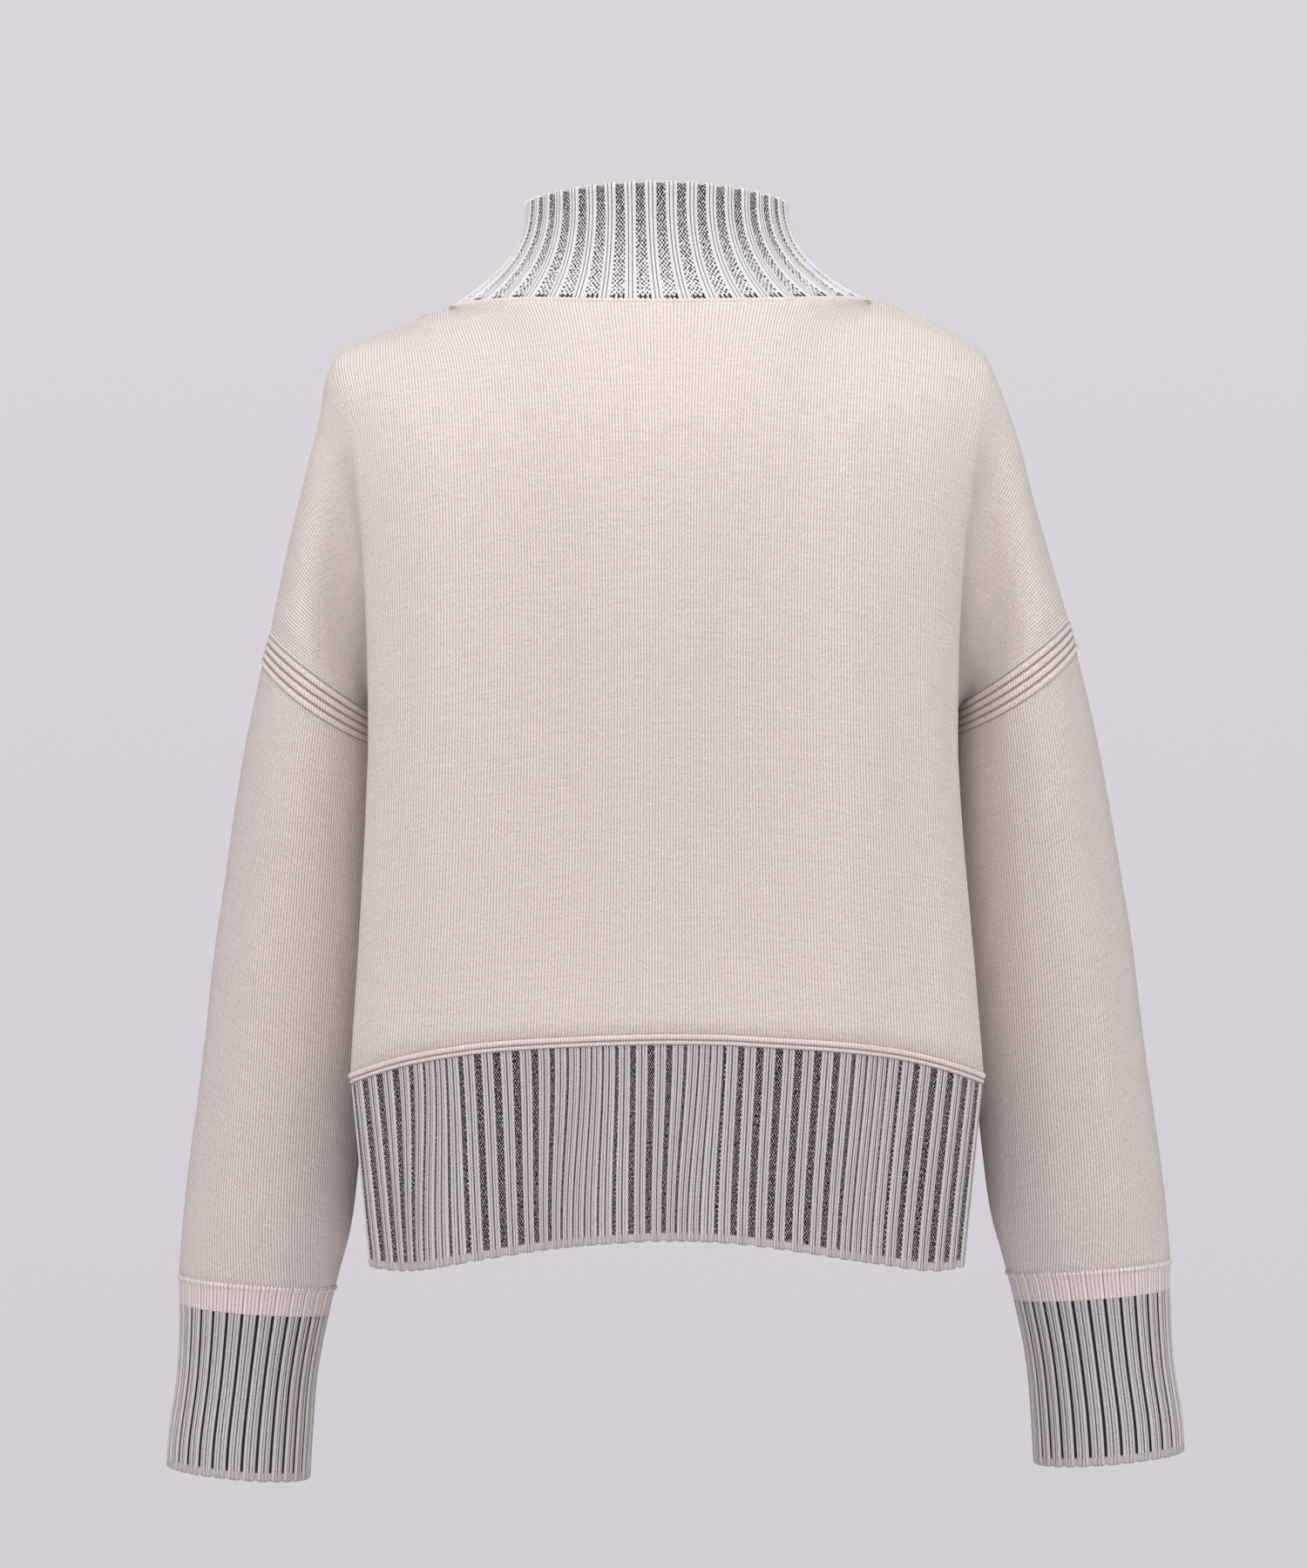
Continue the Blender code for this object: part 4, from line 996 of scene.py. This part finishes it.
def ribbing(name, tones, lines, courses, specks_lean=0.0, specks_rise=0.0, base_dots=False):
    """Ribs of light wales over darker valleys with light specks, and a light free edge.

    tones holds the light wales and their shaded sides, the valley and its specks. Each line is a row
    of small dark dots down the crest: its distance from the middle, its half width and its strength.
    """
    light, light_shade, valley, speck = tones
    knit = Knit(name)
    across = (knit.wale * (1 / WALES_PER_RIB)).fraction() * WALES_PER_RIB
    from_middle = (across - WALES_PER_RIB / 2).size()
    crest = from_middle.ease(*CREST_EDGE)
    dots = knit.course.wave() * 0.5 + 0.5
    fuzz = knit.noise(1.0, 0.0, stretch=(1.6, 1.0)) - 0.5
    dark = fuzz * 0.5
    for place, half_width, strength in lines:
        line = (from_middle - place).size().ease(half_width, half_width * 0.3)
        dark = dark + line * (dots * 0.6 + 0.4) * strength
    wales = knit.mix(dark.ease(0.0, 1.0), light, light_shade)
    checks = across.wave() * (knit.course * 0.5).wave()
    blotches = knit.noise(1.0, 1.0, stretch=(1.3, 0.8)) - 0.5
    specks = (checks + fuzz * 1.6 + blotches * 2.2 + knit.course * specks_rise + specks_lean).ease(-0.1, 0.3)
    ribs = knit.mix(crest, knit.mix(specks, valley, speck), wales)
    if base_dots:
        row = knit.course.ease(courses - BASE_DOTS_START, courses - BASE_DOTS_FULL)
        row = row * across.wave().ease(-0.2, 0.4)
        ribs = knit.mix(row * (crest * -1 + 1), ribs, HEM_DARK)
    else:
        edge = knit.course.ease(courses - FREE_EDGE_COURSES - 0.5, courses - FREE_EDGE_COURSES + 0.5)
        ticks = (across.wave() * 0.5 + 0.5) * 0.35
        ribs = knit.mix(edge, ribs, knit.mix(ticks, light, light_shade))
    height = crest * (dark * -1 + 1) + (crest * -1 + 1) * specks * 0.5
    return knit.finish(ribs, height, RIB_RELIEF)


# ---- ribbed pieces

def rib_section(bumps):
    """One rib's section, from the crest's start: crest places, valley places and crest heights."""
    crest = np.linspace(-0.5, 0.5, CREST_POINTS)
    valley = np.linspace(0, 1, VALLEY_POINTS + 2)[1:-1]
    shoulder = ease(0.5, 0.5 - CREST_SHOULDER, np.abs(crest)) * 0.65 + 0.35
    groove = 1 - np.abs(np.sin(np.pi * bumps * (crest + 0.5))) ** RIDGE_POWER
    groove[[0, -1]] = 0
    return crest, valley, shoulder - CREST_GROOVE * groove


def ribbed_piece(name, surface, crest_share, facts, finish, sign):
    """A ribbed tube. surface gives base points for rib places, rows by columns, and row shares.

    crest_share gives each rib's crest as a share of its pitch, rows by ribs. A positive scallop draws
    the valleys back from the bottom edge, and a negative one from the top edge.
    """
    ribs, rows = facts["ribs"], facts["rows"]
    crest, valley, crest_height = rib_section(facts["bumps"])
    shares = np.linspace(0, 1, rows)
    width = np.broadcast_to(crest_share(shares), (rows, ribs))[..., None]
    on_crest = facts["centre"] + width * crest
    on_valley = facts["centre"] + width / 2 + (1 - width) * valley
    places = np.concatenate([on_crest, on_valley], axis=2) + np.arange(ribs)[None, :, None]
    base = surface(places.reshape(rows, -1), shares)
    section = np.tile(np.concatenate([crest_height, np.zeros(len(valley))]), ribs)
    scallop = facts["scallop"]
    if scallop:
        end, beside = (-1, -2) if scallop > 0 else (0, 1)
        along = unit(base[end] - base[beside])
        base[end] -= along * (abs(scallop) * (1 - section))[:, None]
    normals = sign * grid_normals(base, True)
    relief = facts["relief"] * RIB_HEIGHT * np.where(shares == 1, facts["edge_relief"], 1.0)
    height = (section - 1)[None, :] * relief[:, None] + (facts["ridge"] + 0 * shares)[:, None]
    outer = base + normals * height[..., None]
    inner = (base - normals * (RIB_HEIGHT + CLOTH))[[0, rows // 2, -1]]
    valley_wales = WALES_PER_RIB - CREST_WALES
    crest_start = valley_wales / 2
    crest_end = crest_start + CREST_WALES
    wales = np.concatenate([crest_start + CREST_WALES * (crest + 0.5), crest_end + valley_wales * valley])
    wales = (np.arange(ribs)[:, None] * WALES_PER_RIB + wales).ravel()
    wales = np.append(wales, wales[0] + ribs * WALES_PER_RIB)
    knit = np.stack(np.broadcast_arrays(wales[None, :], shares[:, None] * facts["courses"]), axis=-1)
    return cloth_wall(name, outer, inner, knit, True, facts["rolls"], finish, sign)


def on_loop(loop, edges, places):
    """Points of a closed loop at rib places, where edges says how far round each rib starts."""
    reached = lengths_across(loop, closed=True)
    share = np.interp(places, np.arange(len(edges)), edges)
    share = np.where(places > len(edges) - 1, edges[1] * (places - len(edges) + 1), share)
    return on_polyline(loop, reached / reached[-1], share)


def ridged_tube(name, rings, normals, height, courses, finish, sign):
    """A closed tube with ridges round it, where height says how far each point stands out."""
    outer = rings + normals * height[..., None]
    inner = (rings - normals * CLOTH)[[0, -1]]
    return cloth_wall(name, outer, inner, ridge_knit(rings, courses), True, SEAM_ROLLS, finish, sign)


def make_hem(top, bottom, finish):
    """The ribbed band below the welt, whose ribs lean where the band is drawn in lower down."""
    down = unit(bottom - top)
    band_top = top + down * (WELT_HEIGHT + SEAM_GAP / 2)
    coarse = np.stack([band_top, (band_top + bottom) / 2, bottom])
    high_edges = rib_edges(band_top, HEM_RIBS)
    low_edges = rib_edges(bottom - HEM_LEAN, HEM_RIBS)
    pitch = np.diff(high_edges) * loop_length(band_top)
    crest = np.minimum(HEM_RIB_CREST * HEM_CREST_WIDER / pitch, HEM_CREST_MOST)

    def surface(places, shares):
        rows = refine(coarse, len(shares), HEM_COLUMNS, closed=True)
        lean = ease(0, 1, shares)
        return np.stack([on_loop(row, high_edges + (low_edges - high_edges) * part, at)
                         for row, part, at in zip(rows, lean, places)])

    return ribbed_piece("knit_hem_rib", surface, lambda shares: crest[None, :], HEM_FACTS, finish, -1)


def make_welt(top, bottom, finish):
    """The tubular ridge above the hem band, and the thinner one under it."""
    down = unit(bottom - top)
    fine_top = refine(np.stack([top, top + down * WELT_HEIGHT]), 2, HEM_COLUMNS, closed=True)
    shares = np.linspace(0, 1, WELT_RINGS)
    rings = fine_top[0] + (fine_top[1] - fine_top[0]) * shares[:, None, None]
    normals = unit(-grid_normals(rings, True) * (1, 1, 0))
    on_first = shares < WELT_GROOVE
    phase = np.where(on_first, shares / WELT_GROOVE, 1 + (shares - WELT_GROOVE) / (1 - WELT_GROOVE))
    size = np.where(on_first, WELT_UPPER_SIZE, WELT_LOWER_SIZE) * WELT_RIDGE
    profile = size * np.abs(np.sin(np.pi * phase)) ** RIDGE_POWER
    height = (profile - WELT_SINK)[:, None]
    return ridged_tube("knit_hem_welt", rings, normals, height, 2 * phase, finish, -1)


def shaped_knit(rings):
    """Knit coordinates of a sleeve whose wales keep their pitch: they run out along its first column."""
    wrapped = np.concatenate([rings, rings[:, :1]], axis=1)
    steps = np.linalg.norm(np.diff(wrapped, axis=1), axis=2)
    across = np.concatenate([0 * steps[:, :1], np.cumsum(steps, axis=1)], axis=1)
    across -= across[:, -1:] / 2
    courses = lengths_down(wrapped)
    return np.stack([across / WALE_PITCH, courses / COURSE_PITCH], axis=-1)


def ridge_knit(rings, courses):
    """Knit coordinates of a closed grid of ridges, with a course for each row and whole wales round."""
    round_it = lengths_across(rings[len(rings) // 2], closed=True)
    wales = round_it / round_it[-1] * np.round(round_it[-1] / WALE_PITCH)
    return np.stack(np.broadcast_arrays(wales[None, :], courses[:, None]), axis=-1)


def fine_neckline_rings(heights):
    """Rings of the collar's outer face on a finer grid, with the left shoulder's shape."""
    fine = refine(collar_rings(heights), len(heights), COLLAR_STEPS, closed=True)
    return fine + shoulder_shape(fine)


def on_ring(ring, evenness, places):
    """Points of a collar ring at rib places, from even turns (evenness 0) to even lengths (1)."""
    reached = lengths_across(ring, closed=True)
    known = np.linspace(0, COLLAR_RIBS, len(reached))
    even = reached / reached[-1] * COLLAR_RIBS
    return on_polyline(ring, known + (even - known) * evenness, places % COLLAR_RIBS)


def make_collar(finish):
    """The funnel collar."""
    def surface(places, shares):
        heights = COLLAR_SEAM_SHARE + (1 - COLLAR_SEAM_SHARE) * (1 - shares)
        rows = fine_neckline_rings(heights)
        return np.stack([on_ring(row, part, at) for row, part, at in zip(rows, shares, places)])

    def crest_share(shares):
        return (COLLAR_CREST_AT_RIM + (COLLAR_CREST_AT_BASE - COLLAR_CREST_AT_RIM) * shares)[:, None]

    return ribbed_piece("knit_collar", surface, crest_share, COLLAR_FACTS, finish, -1)


def make_collar_seam(finish):
    """The linking ridge at the collar's base."""
    shares = np.linspace(0, 1, SEAM_RINGS)
    rings = fine_neckline_rings((1 - shares) * COLLAR_SEAM_SHARE)
    normals = -grid_normals(rings, True)
    rise = np.sin(np.pi * np.clip(shares, SEAM_END, 1 - SEAM_END)) ** SEAM_RIDGE_POWER
    height = (COLLAR_SEAM_RIDGE * rise - SEAM_SINK)[:, None]
    courses = SEAM_FIRST_COURSE + SEAM_COURSES * shares
    return ridged_tube("knit_collar_seam", rings, normals, height, courses, finish, -1)


# ---- plain pieces

def drop_fold(points, front):
    """How far the soft fold down each shoulder drop moves the cloth."""
    z = np.clip(points[..., 2], DROP_FOLD["z"][-1], DROP_FOLD["z"][0])
    order = DROP_FOLD["z"][::-1]
    names = ("ridge_x", "dip_x", "height")
    ridge, dip, height = [np.interp(z, order, DROP_FOLD[name][::-1]) for name in names]
    x = np.abs(points[..., 0])
    raised, sunk = [np.exp(-((x - middle) / DROP_FOLD_WIDTH) ** 2) for middle in (ridge, dip)]
    return height * (raised - DROP_DIP_SHARE * sunk) * (DROP_FRONT_SHARE if front else 1.0)


def troughs(points, folds):
    """How far the soft troughs draw the cloth in, at each point."""
    z = points[..., 2]
    share = np.clip((TROUGH_TOP_Z - z) / (TROUGH_TOP_Z - TROUGH_LOW_Z), 0, 1)
    depth = 0 * z
    for top_x, low_x, deepest, width in zip(*folds.values()):
        middle = top_x + (low_x - top_x) * share
        depth += deepest * np.exp(-((points[..., 0] - middle) / width) ** 2)
    return depth * ease(TROUGH_TOP_Z, TROUGH_FULL_Z, z)


def shoulder_shape(points):
    """How far the left shoulder's shape moves each point."""
    move = 0 * points
    for x, z, out, up, width in zip(*SHOULDER_SHAPE.values()):
        near = np.exp(-((points[..., 0] - x) ** 2 + (points[..., 2] - z) ** 2) / width ** 2)
        move += near[..., None] * (out, 0, up)
    return move


def fine_panel(grid):
    """The panel on a finer grid, whose top rows keep the corners between neckline and shoulders."""
    fine = refine(grid, PANEL_ROWS, PANEL_COLUMNS)
    down = np.linspace(0, len(grid) - 1, PANEL_ROWS)
    across = np.linspace(0, grid.shape[1] - 1, PANEL_COLUMNS)
    turned = resample(grid, down).swapaxes(0, 1)
    middle = grid.shape[1] // 2
    breaks = (0, middle - NECK_STEPS, middle + NECK_STEPS, grid.shape[1] - 1)
    sharp = fine.copy()
    for start, end in zip(breaks, breaks[1:]):
        inside = (across >= start) & (across <= end)
        sharp[:, inside] = resample(turned[start:end + 1], across[inside] - start).swapaxes(0, 1)
    share = ease(NECK_CORNER_ROWS, 0, np.arange(PANEL_ROWS))
    return fine + (sharp - fine) * share[:, None, None]


def shaped_panel(grid, front):
    """The fine panel with the left shoulder's shape, its drop folds and its troughs."""
    fine = fine_panel(grid)
    fine = fine + shoulder_shape(fine)
    sign = -1 if front else 1
    normals = sign * grid_normals(fine, False)
    columns = np.linspace(0, 1, PANEL_COLUMNS)
    rows = np.linspace(0, 1, PANEL_ROWS)[:, None]
    side, end = PANEL_SIDE_SHARE, PANEL_END_SHARE
    inside = ease(0, side, columns) * ease(1, 1 - side, columns)
    inside = inside * ease(0, end, rows) * ease(1, 1 - end, rows)
    folds = drop_fold(fine, front) - troughs(fine, FRONT_TROUGHS if front else BACK_TROUGHS)
    return fine + normals * (folds * inside)[..., None]


def panel_knit(fine):
    """Knit coordinates of a panel: straight wales, as far apart as on its upper half, and its courses."""
    steps = np.diff(fine, axis=1)
    along = unit(np.gradient(fine, axis=0))[:, 1:]
    steps = steps - (steps * along).sum(axis=2, keepdims=True) * along
    spacing = np.linalg.norm(steps, axis=2)[PANEL_ROWS // 8:PANEL_ROWS // 2].mean(axis=0)
    across = np.concatenate([[0], np.cumsum(spacing)])
    wales = (across - across[PANEL_COLUMNS // 2]) / WALE_PITCH
    down = lengths_down(fine)
    courses = (down - down[-1]) / COURSE_PITCH
    return np.stack(np.broadcast_arrays(wales[None, :], courses), axis=-1)


def make_panel(name, grid, front, finish):
    fine = shaped_panel(grid, front)
    sign = -1 if front else 1
    inner = fine - sign * grid_normals(fine, False) * CLOTH
    return cloth_wall(name, fine, inner, panel_knit(fine), False, SEAM_ROLLS, finish, sign)


def arm_grid(arm, top, bottom, rows, columns):
    """Outer face of a sleeve between two heights, which are functions of the angle, from under the arm."""
    angle = np.pi + np.arange(columns) * 2 * np.pi / columns
    shares = np.linspace(0, 1, rows)[:, None]
    high = top(angle)
    low = bottom(angle)
    rings = sleeve_point(arm, angle[None, :], high + (low - high) * shares)
    return rings, -arm["sign"] * grid_normals(rings, True)


def make_sleeve(side, arm, finish):
    rings, normals = arm_grid(
        arm,
        lambda angle: armhole_height(arm, angle) - band_drop(angle),
        lambda angle: cuff_height(arm, angle, CUFF_BAND_TOP_Z, CUFF_TILT),
        SLEEVE_ROWS, SLEEVE_COLUMNS)
    inner = (rings - normals * CLOTH)[::SLEEVE_INNER_STEP]
    return cloth_wall(f"knit_sleeve_{side}", rings, inner, shaped_knit(rings), True, SEAM_ROLLS, finish,
                      -arm["sign"])


def make_armhole_band(side, arm, finish):
    rows = BAND_ROWS_PER_RIDGE * ARMHOLE_RIDGES + 1
    rings, normals = arm_grid(
        arm,
        lambda angle: armhole_height(arm, angle),
        lambda angle: armhole_height(arm, angle) - band_drop(angle),
        rows, BAND_COLUMNS)
    shares = np.linspace(0, 1, rows)
    ridge = np.abs(np.sin(np.pi * ARMHOLE_RIDGES * shares)) ** RIDGE_POWER
    ridge *= np.where(shares > 1 - 1 / ARMHOLE_RIDGES, BAND_LAST_RIDGE_SIZE, 1.0) * ARMHOLE_RIDGE_HEIGHT
    angle = np.pi + np.arange(BAND_COLUMNS) * 2 * np.pi / BAND_COLUMNS
    flat = 1 - UNDERARM_FLATTENING * ease(0.2, -1.0, np.cos(angle))
    height = (ridge[:, None] - BAND_SINK) * flat
    courses = 2 * ARMHOLE_RIDGES * shares
    return ridged_tube(f"knit_armhole_band_{side}", rings, normals, height, courses, finish, -arm["sign"])


def make_cuff(side, arm, finish, band_finish):
    sign = -arm["sign"]

    def grid(places, shares, top, bottom):
        angle = places * 2 * np.pi / CUFF_RIBS
        high = top(angle)
        return sleeve_point(arm, angle, high + (bottom(angle) - high) * shares[:, None])

    def band_top(angle):
        return cuff_height(arm, angle, CUFF_BAND_TOP_Z, CUFF_TILT)

    def rib_top(angle):
        return band_top(angle) - CUFF_BAND_HEIGHT

    def rib_bottom(angle):
        return cuff_height(arm, angle, CUFF_RIB_BOTTOM_Z, CUFF_BOTTOM_TILT)

    band = ribbed_piece(f"knit_cuff_band_{side}", lambda p, s: grid(p, s, band_top, rib_top),
                        lambda shares: np.full((1, 1), CUFF_BAND_CREST), CUFF_BAND_FACTS, band_finish, sign)
    ribs = ribbed_piece(f"knit_cuff_rib_{side}", lambda p, s: grid(p, s, rib_top, rib_bottom),
                        lambda shares: np.full((1, 1), CUFF_CREST), CUFF_FACTS, finish, sign)
    return band, ribs


# ---- room, camera and light

PHOTO_WIDTH = 1500
PHOTO_HEIGHT = 1800
METRES_PER_PIXEL = 0.52e-3
CAMERA_DISTANCE = 3.2
ORIGIN_PIXEL = (765, 345)
SENSOR = 24
FLOOR_Z = -1.42
FLOOR_RADIUS = 3.0
FLOOR_CORNERS = 96
BACKDROP = (0.700, 0.660, 0.715)
BACKDROP_REACH = 0.145
BACKDROP_LOW = 0.935
BACKDROP_HIGH = 1.015
AMBIENT = 0.52
LIGHT_TARGET = np.array((0.0, 0.0, -0.30))


def make_camera():
    data = bpy.data.cameras.new("camera")
    data.sensor_fit = "VERTICAL"
    data.sensor_height = SENSOR
    data.lens = SENSOR * CAMERA_DISTANCE / (PHOTO_HEIGHT * METRES_PER_PIXEL)
    camera = add_object("camera", data)
    x = (ORIGIN_PIXEL[0] - PHOTO_WIDTH / 2) * METRES_PER_PIXEL
    z = (ORIGIN_PIXEL[1] - PHOTO_HEIGHT / 2) * METRES_PER_PIXEL
    camera.location = (x, CAMERA_DISTANCE, z)
    camera.rotation_euler = (math.radians(90), 0, math.radians(180))
    bpy.context.scene.camera = camera


def make_floor():
    mesh = bpy.data.meshes.new("floor")
    angle = np.arange(FLOOR_CORNERS) * 2 * np.pi / FLOOR_CORNERS
    x, y = FLOOR_RADIUS * np.cos(angle), FLOOR_RADIUS * np.sin(angle)
    points = np.stack([x, y, 0 * angle + FLOOR_Z], axis=1)
    mesh.from_pydata(points.tolist(), [], [list(range(FLOOR_CORNERS))])
    paint = bpy.data.materials.new("floor_paint")
    paint.use_nodes = True
    shader = paint.node_tree.nodes["Principled BSDF"]
    shader.inputs["Base Color"].default_value = (*BACKDROP, 1)
    shader.inputs["Roughness"].default_value = 0.8
    mesh.materials.append(paint)
    floor = add_object("floor", mesh)


def make_world():
    world = bpy.data.worlds.new("studio")
    world.use_nodes = True
    tree = world.node_tree
    background = tree.nodes["Background"]
    background.inputs["Color"].default_value = (*BACKDROP, 1)
    path = tree.nodes.new("ShaderNodeLightPath")
    seen = tree.nodes.new("ShaderNodeMapRange")
    seen.inputs["To Min"].default_value = AMBIENT
    tree.links.new(path.outputs["Is Camera Ray"], seen.inputs["Value"])
    # Camera rays see the backdrop darker toward the bottom and lighter toward the top: painted shade on the
    # backdrop. All other rays get the even AMBIENT strength.
    direction = tree.nodes.new("ShaderNodeTexCoord")
    parts = tree.nodes.new("ShaderNodeSeparateXYZ")
    tree.links.new(direction.outputs["Generated"], parts.inputs[0])
    rise = tree.nodes.new("ShaderNodeMapRange")
    for name, value in (("From Min", -BACKDROP_REACH), ("From Max", BACKDROP_REACH),
                        ("To Min", BACKDROP_LOW), ("To Max", BACKDROP_HIGH)):
        rise.inputs[name].default_value = value
    tree.links.new(parts.outputs["Z"], rise.inputs["Value"])
    tree.links.new(rise.outputs["Result"], seen.inputs["To Max"])
    tree.links.new(seen.outputs["Result"], background.inputs["Strength"])
    bpy.context.scene.world = world
    bpy.context.scene.view_settings.view_transform = "Standard"


LIGHTS = {
    "key": {"place": (0.15, 0.8, 2.1), "size": 1.8, "watts": 36, "colour": (0.95, 0.98, 1.0)},
    "front": {"place": (0.0, 4.4, 0.3), "size": 2.6, "watts": 70, "colour": (0.98, 0.98, 1.0)},
    "left": {"place": (2.7, 1.3, 0.8), "size": 2.4, "watts": 28, "colour": (1.0, 0.98, 0.97)},
    "right": {"place": (-2.7, 1.3, 0.8), "size": 2.4, "watts": 30, "colour": (0.99, 0.98, 0.98)},
}


def make_lights():
    for name, facts in LIGHTS.items():
        data = bpy.data.lights.new(name, "AREA")
        data.shape = "SQUARE"
        data.size = facts["size"]
        data.energy = facts["watts"]
        data.color = facts["colour"]
        light = add_object(name, data)
        light.location = facts["place"]
        away = np.array(facts["place"]) - LIGHT_TARGET
        flat = math.hypot(away[0], away[1])
        light.rotation_euler = (math.atan2(flat, away[2]), 0, math.atan2(away[0], -away[1]))


# ---- the whole

def place(piece, node, slot, flat, held, area=None):
    """Hang the piece on the body in place of its solid."""
    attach(piece, "root")
    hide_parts(node)


def main():
    make_camera()
    make_world()
    make_lights()
    make_floor()
    cream = stockinette()
    edge = edging()
    hem_finish = ribbing("two_tone_hem", (HEM_LIGHT, HEM_SHADE, HEM_DARK, HEM_SPECK), HEM_LINES,
                         HEM_FACTS["courses"], specks_lean=-0.28)
    cuff_finish = ribbing("two_tone_cuff", (CUFF_LIGHT, HEM_SHADE, HEM_DARK, CUFF_SPECK), CUFF_LINES,
                          CUFF_FACTS["courses"], specks_lean=-0.4)
    collar_finish = ribbing("pale_collar", (COLLAR_LIGHT, COLLAR_SHADE, COLLAR_GREY, COLLAR_SPECK),
                            COLLAR_LINES, COLLAR_FACTS["courses"], -0.25, 0.015, base_dots=True)
    band_finish = ribbing("cream_cuff_band", (EDGE_CREAM, EDGE_SHADE, BAND_GROOVE_SHADE, BAND_SPECK), BAND_LINES,
                          NO_FREE_EDGE)
    back = panel_grid(front=False)
    front = panel_grid(front=True)
    back_piece = make_panel("knit_back_panel", back, False, cream)
    place(back_piece, "back_panel", "cream", (0.75, 0.475), "hung", 0.25)
    front_piece = make_panel("knit_front_panel", front, True, cream)
    place(front_piece, "front_panel", "cream", (0.75, 0.475), "hung", 0.25)
    top, bottom = hem_loop(back, front), hem_bottom_loop()
    hem, welt = make_hem(top, bottom, hem_finish), make_welt(top, bottom, edge)
    place(hem, "hem_rib", "two_tone_rib", (1.18, 0.116), "stretched")
    place(welt, "hem_welt", "cream_edging", (1.2, 0.011), "hung", 0.0108)
    seam, collar = make_collar_seam(edge), make_collar(collar_finish)
    place(collar, "collar", "pale_grey_rib", (0.53, 0.08), "stretched")
    place(seam, "collar_seam", "cream_edging", (0.55, 0.0105), "hung", 0.0037)
    for side, arm in ARMS.items():
        strip = make_armhole_band(side, arm, edge)
        place(strip, f"armhole_band_{side}", "cream_edging", (0.36, 0.02), "hung")
        place(make_sleeve(side, arm, cream), f"sleeve_{side}", "cream", (0.36, 0.36), "hung", 0.113)
        band, ribs = make_cuff(side, arm, cuff_finish, band_finish)
        place(band, f"cuff_band_{side}", "cream_edging", (0.27, 0.022), "hung")
        place(ribs, f"cuff_rib_{side}", "two_tone_rib", (0.29, 0.1), "stretched")


main()
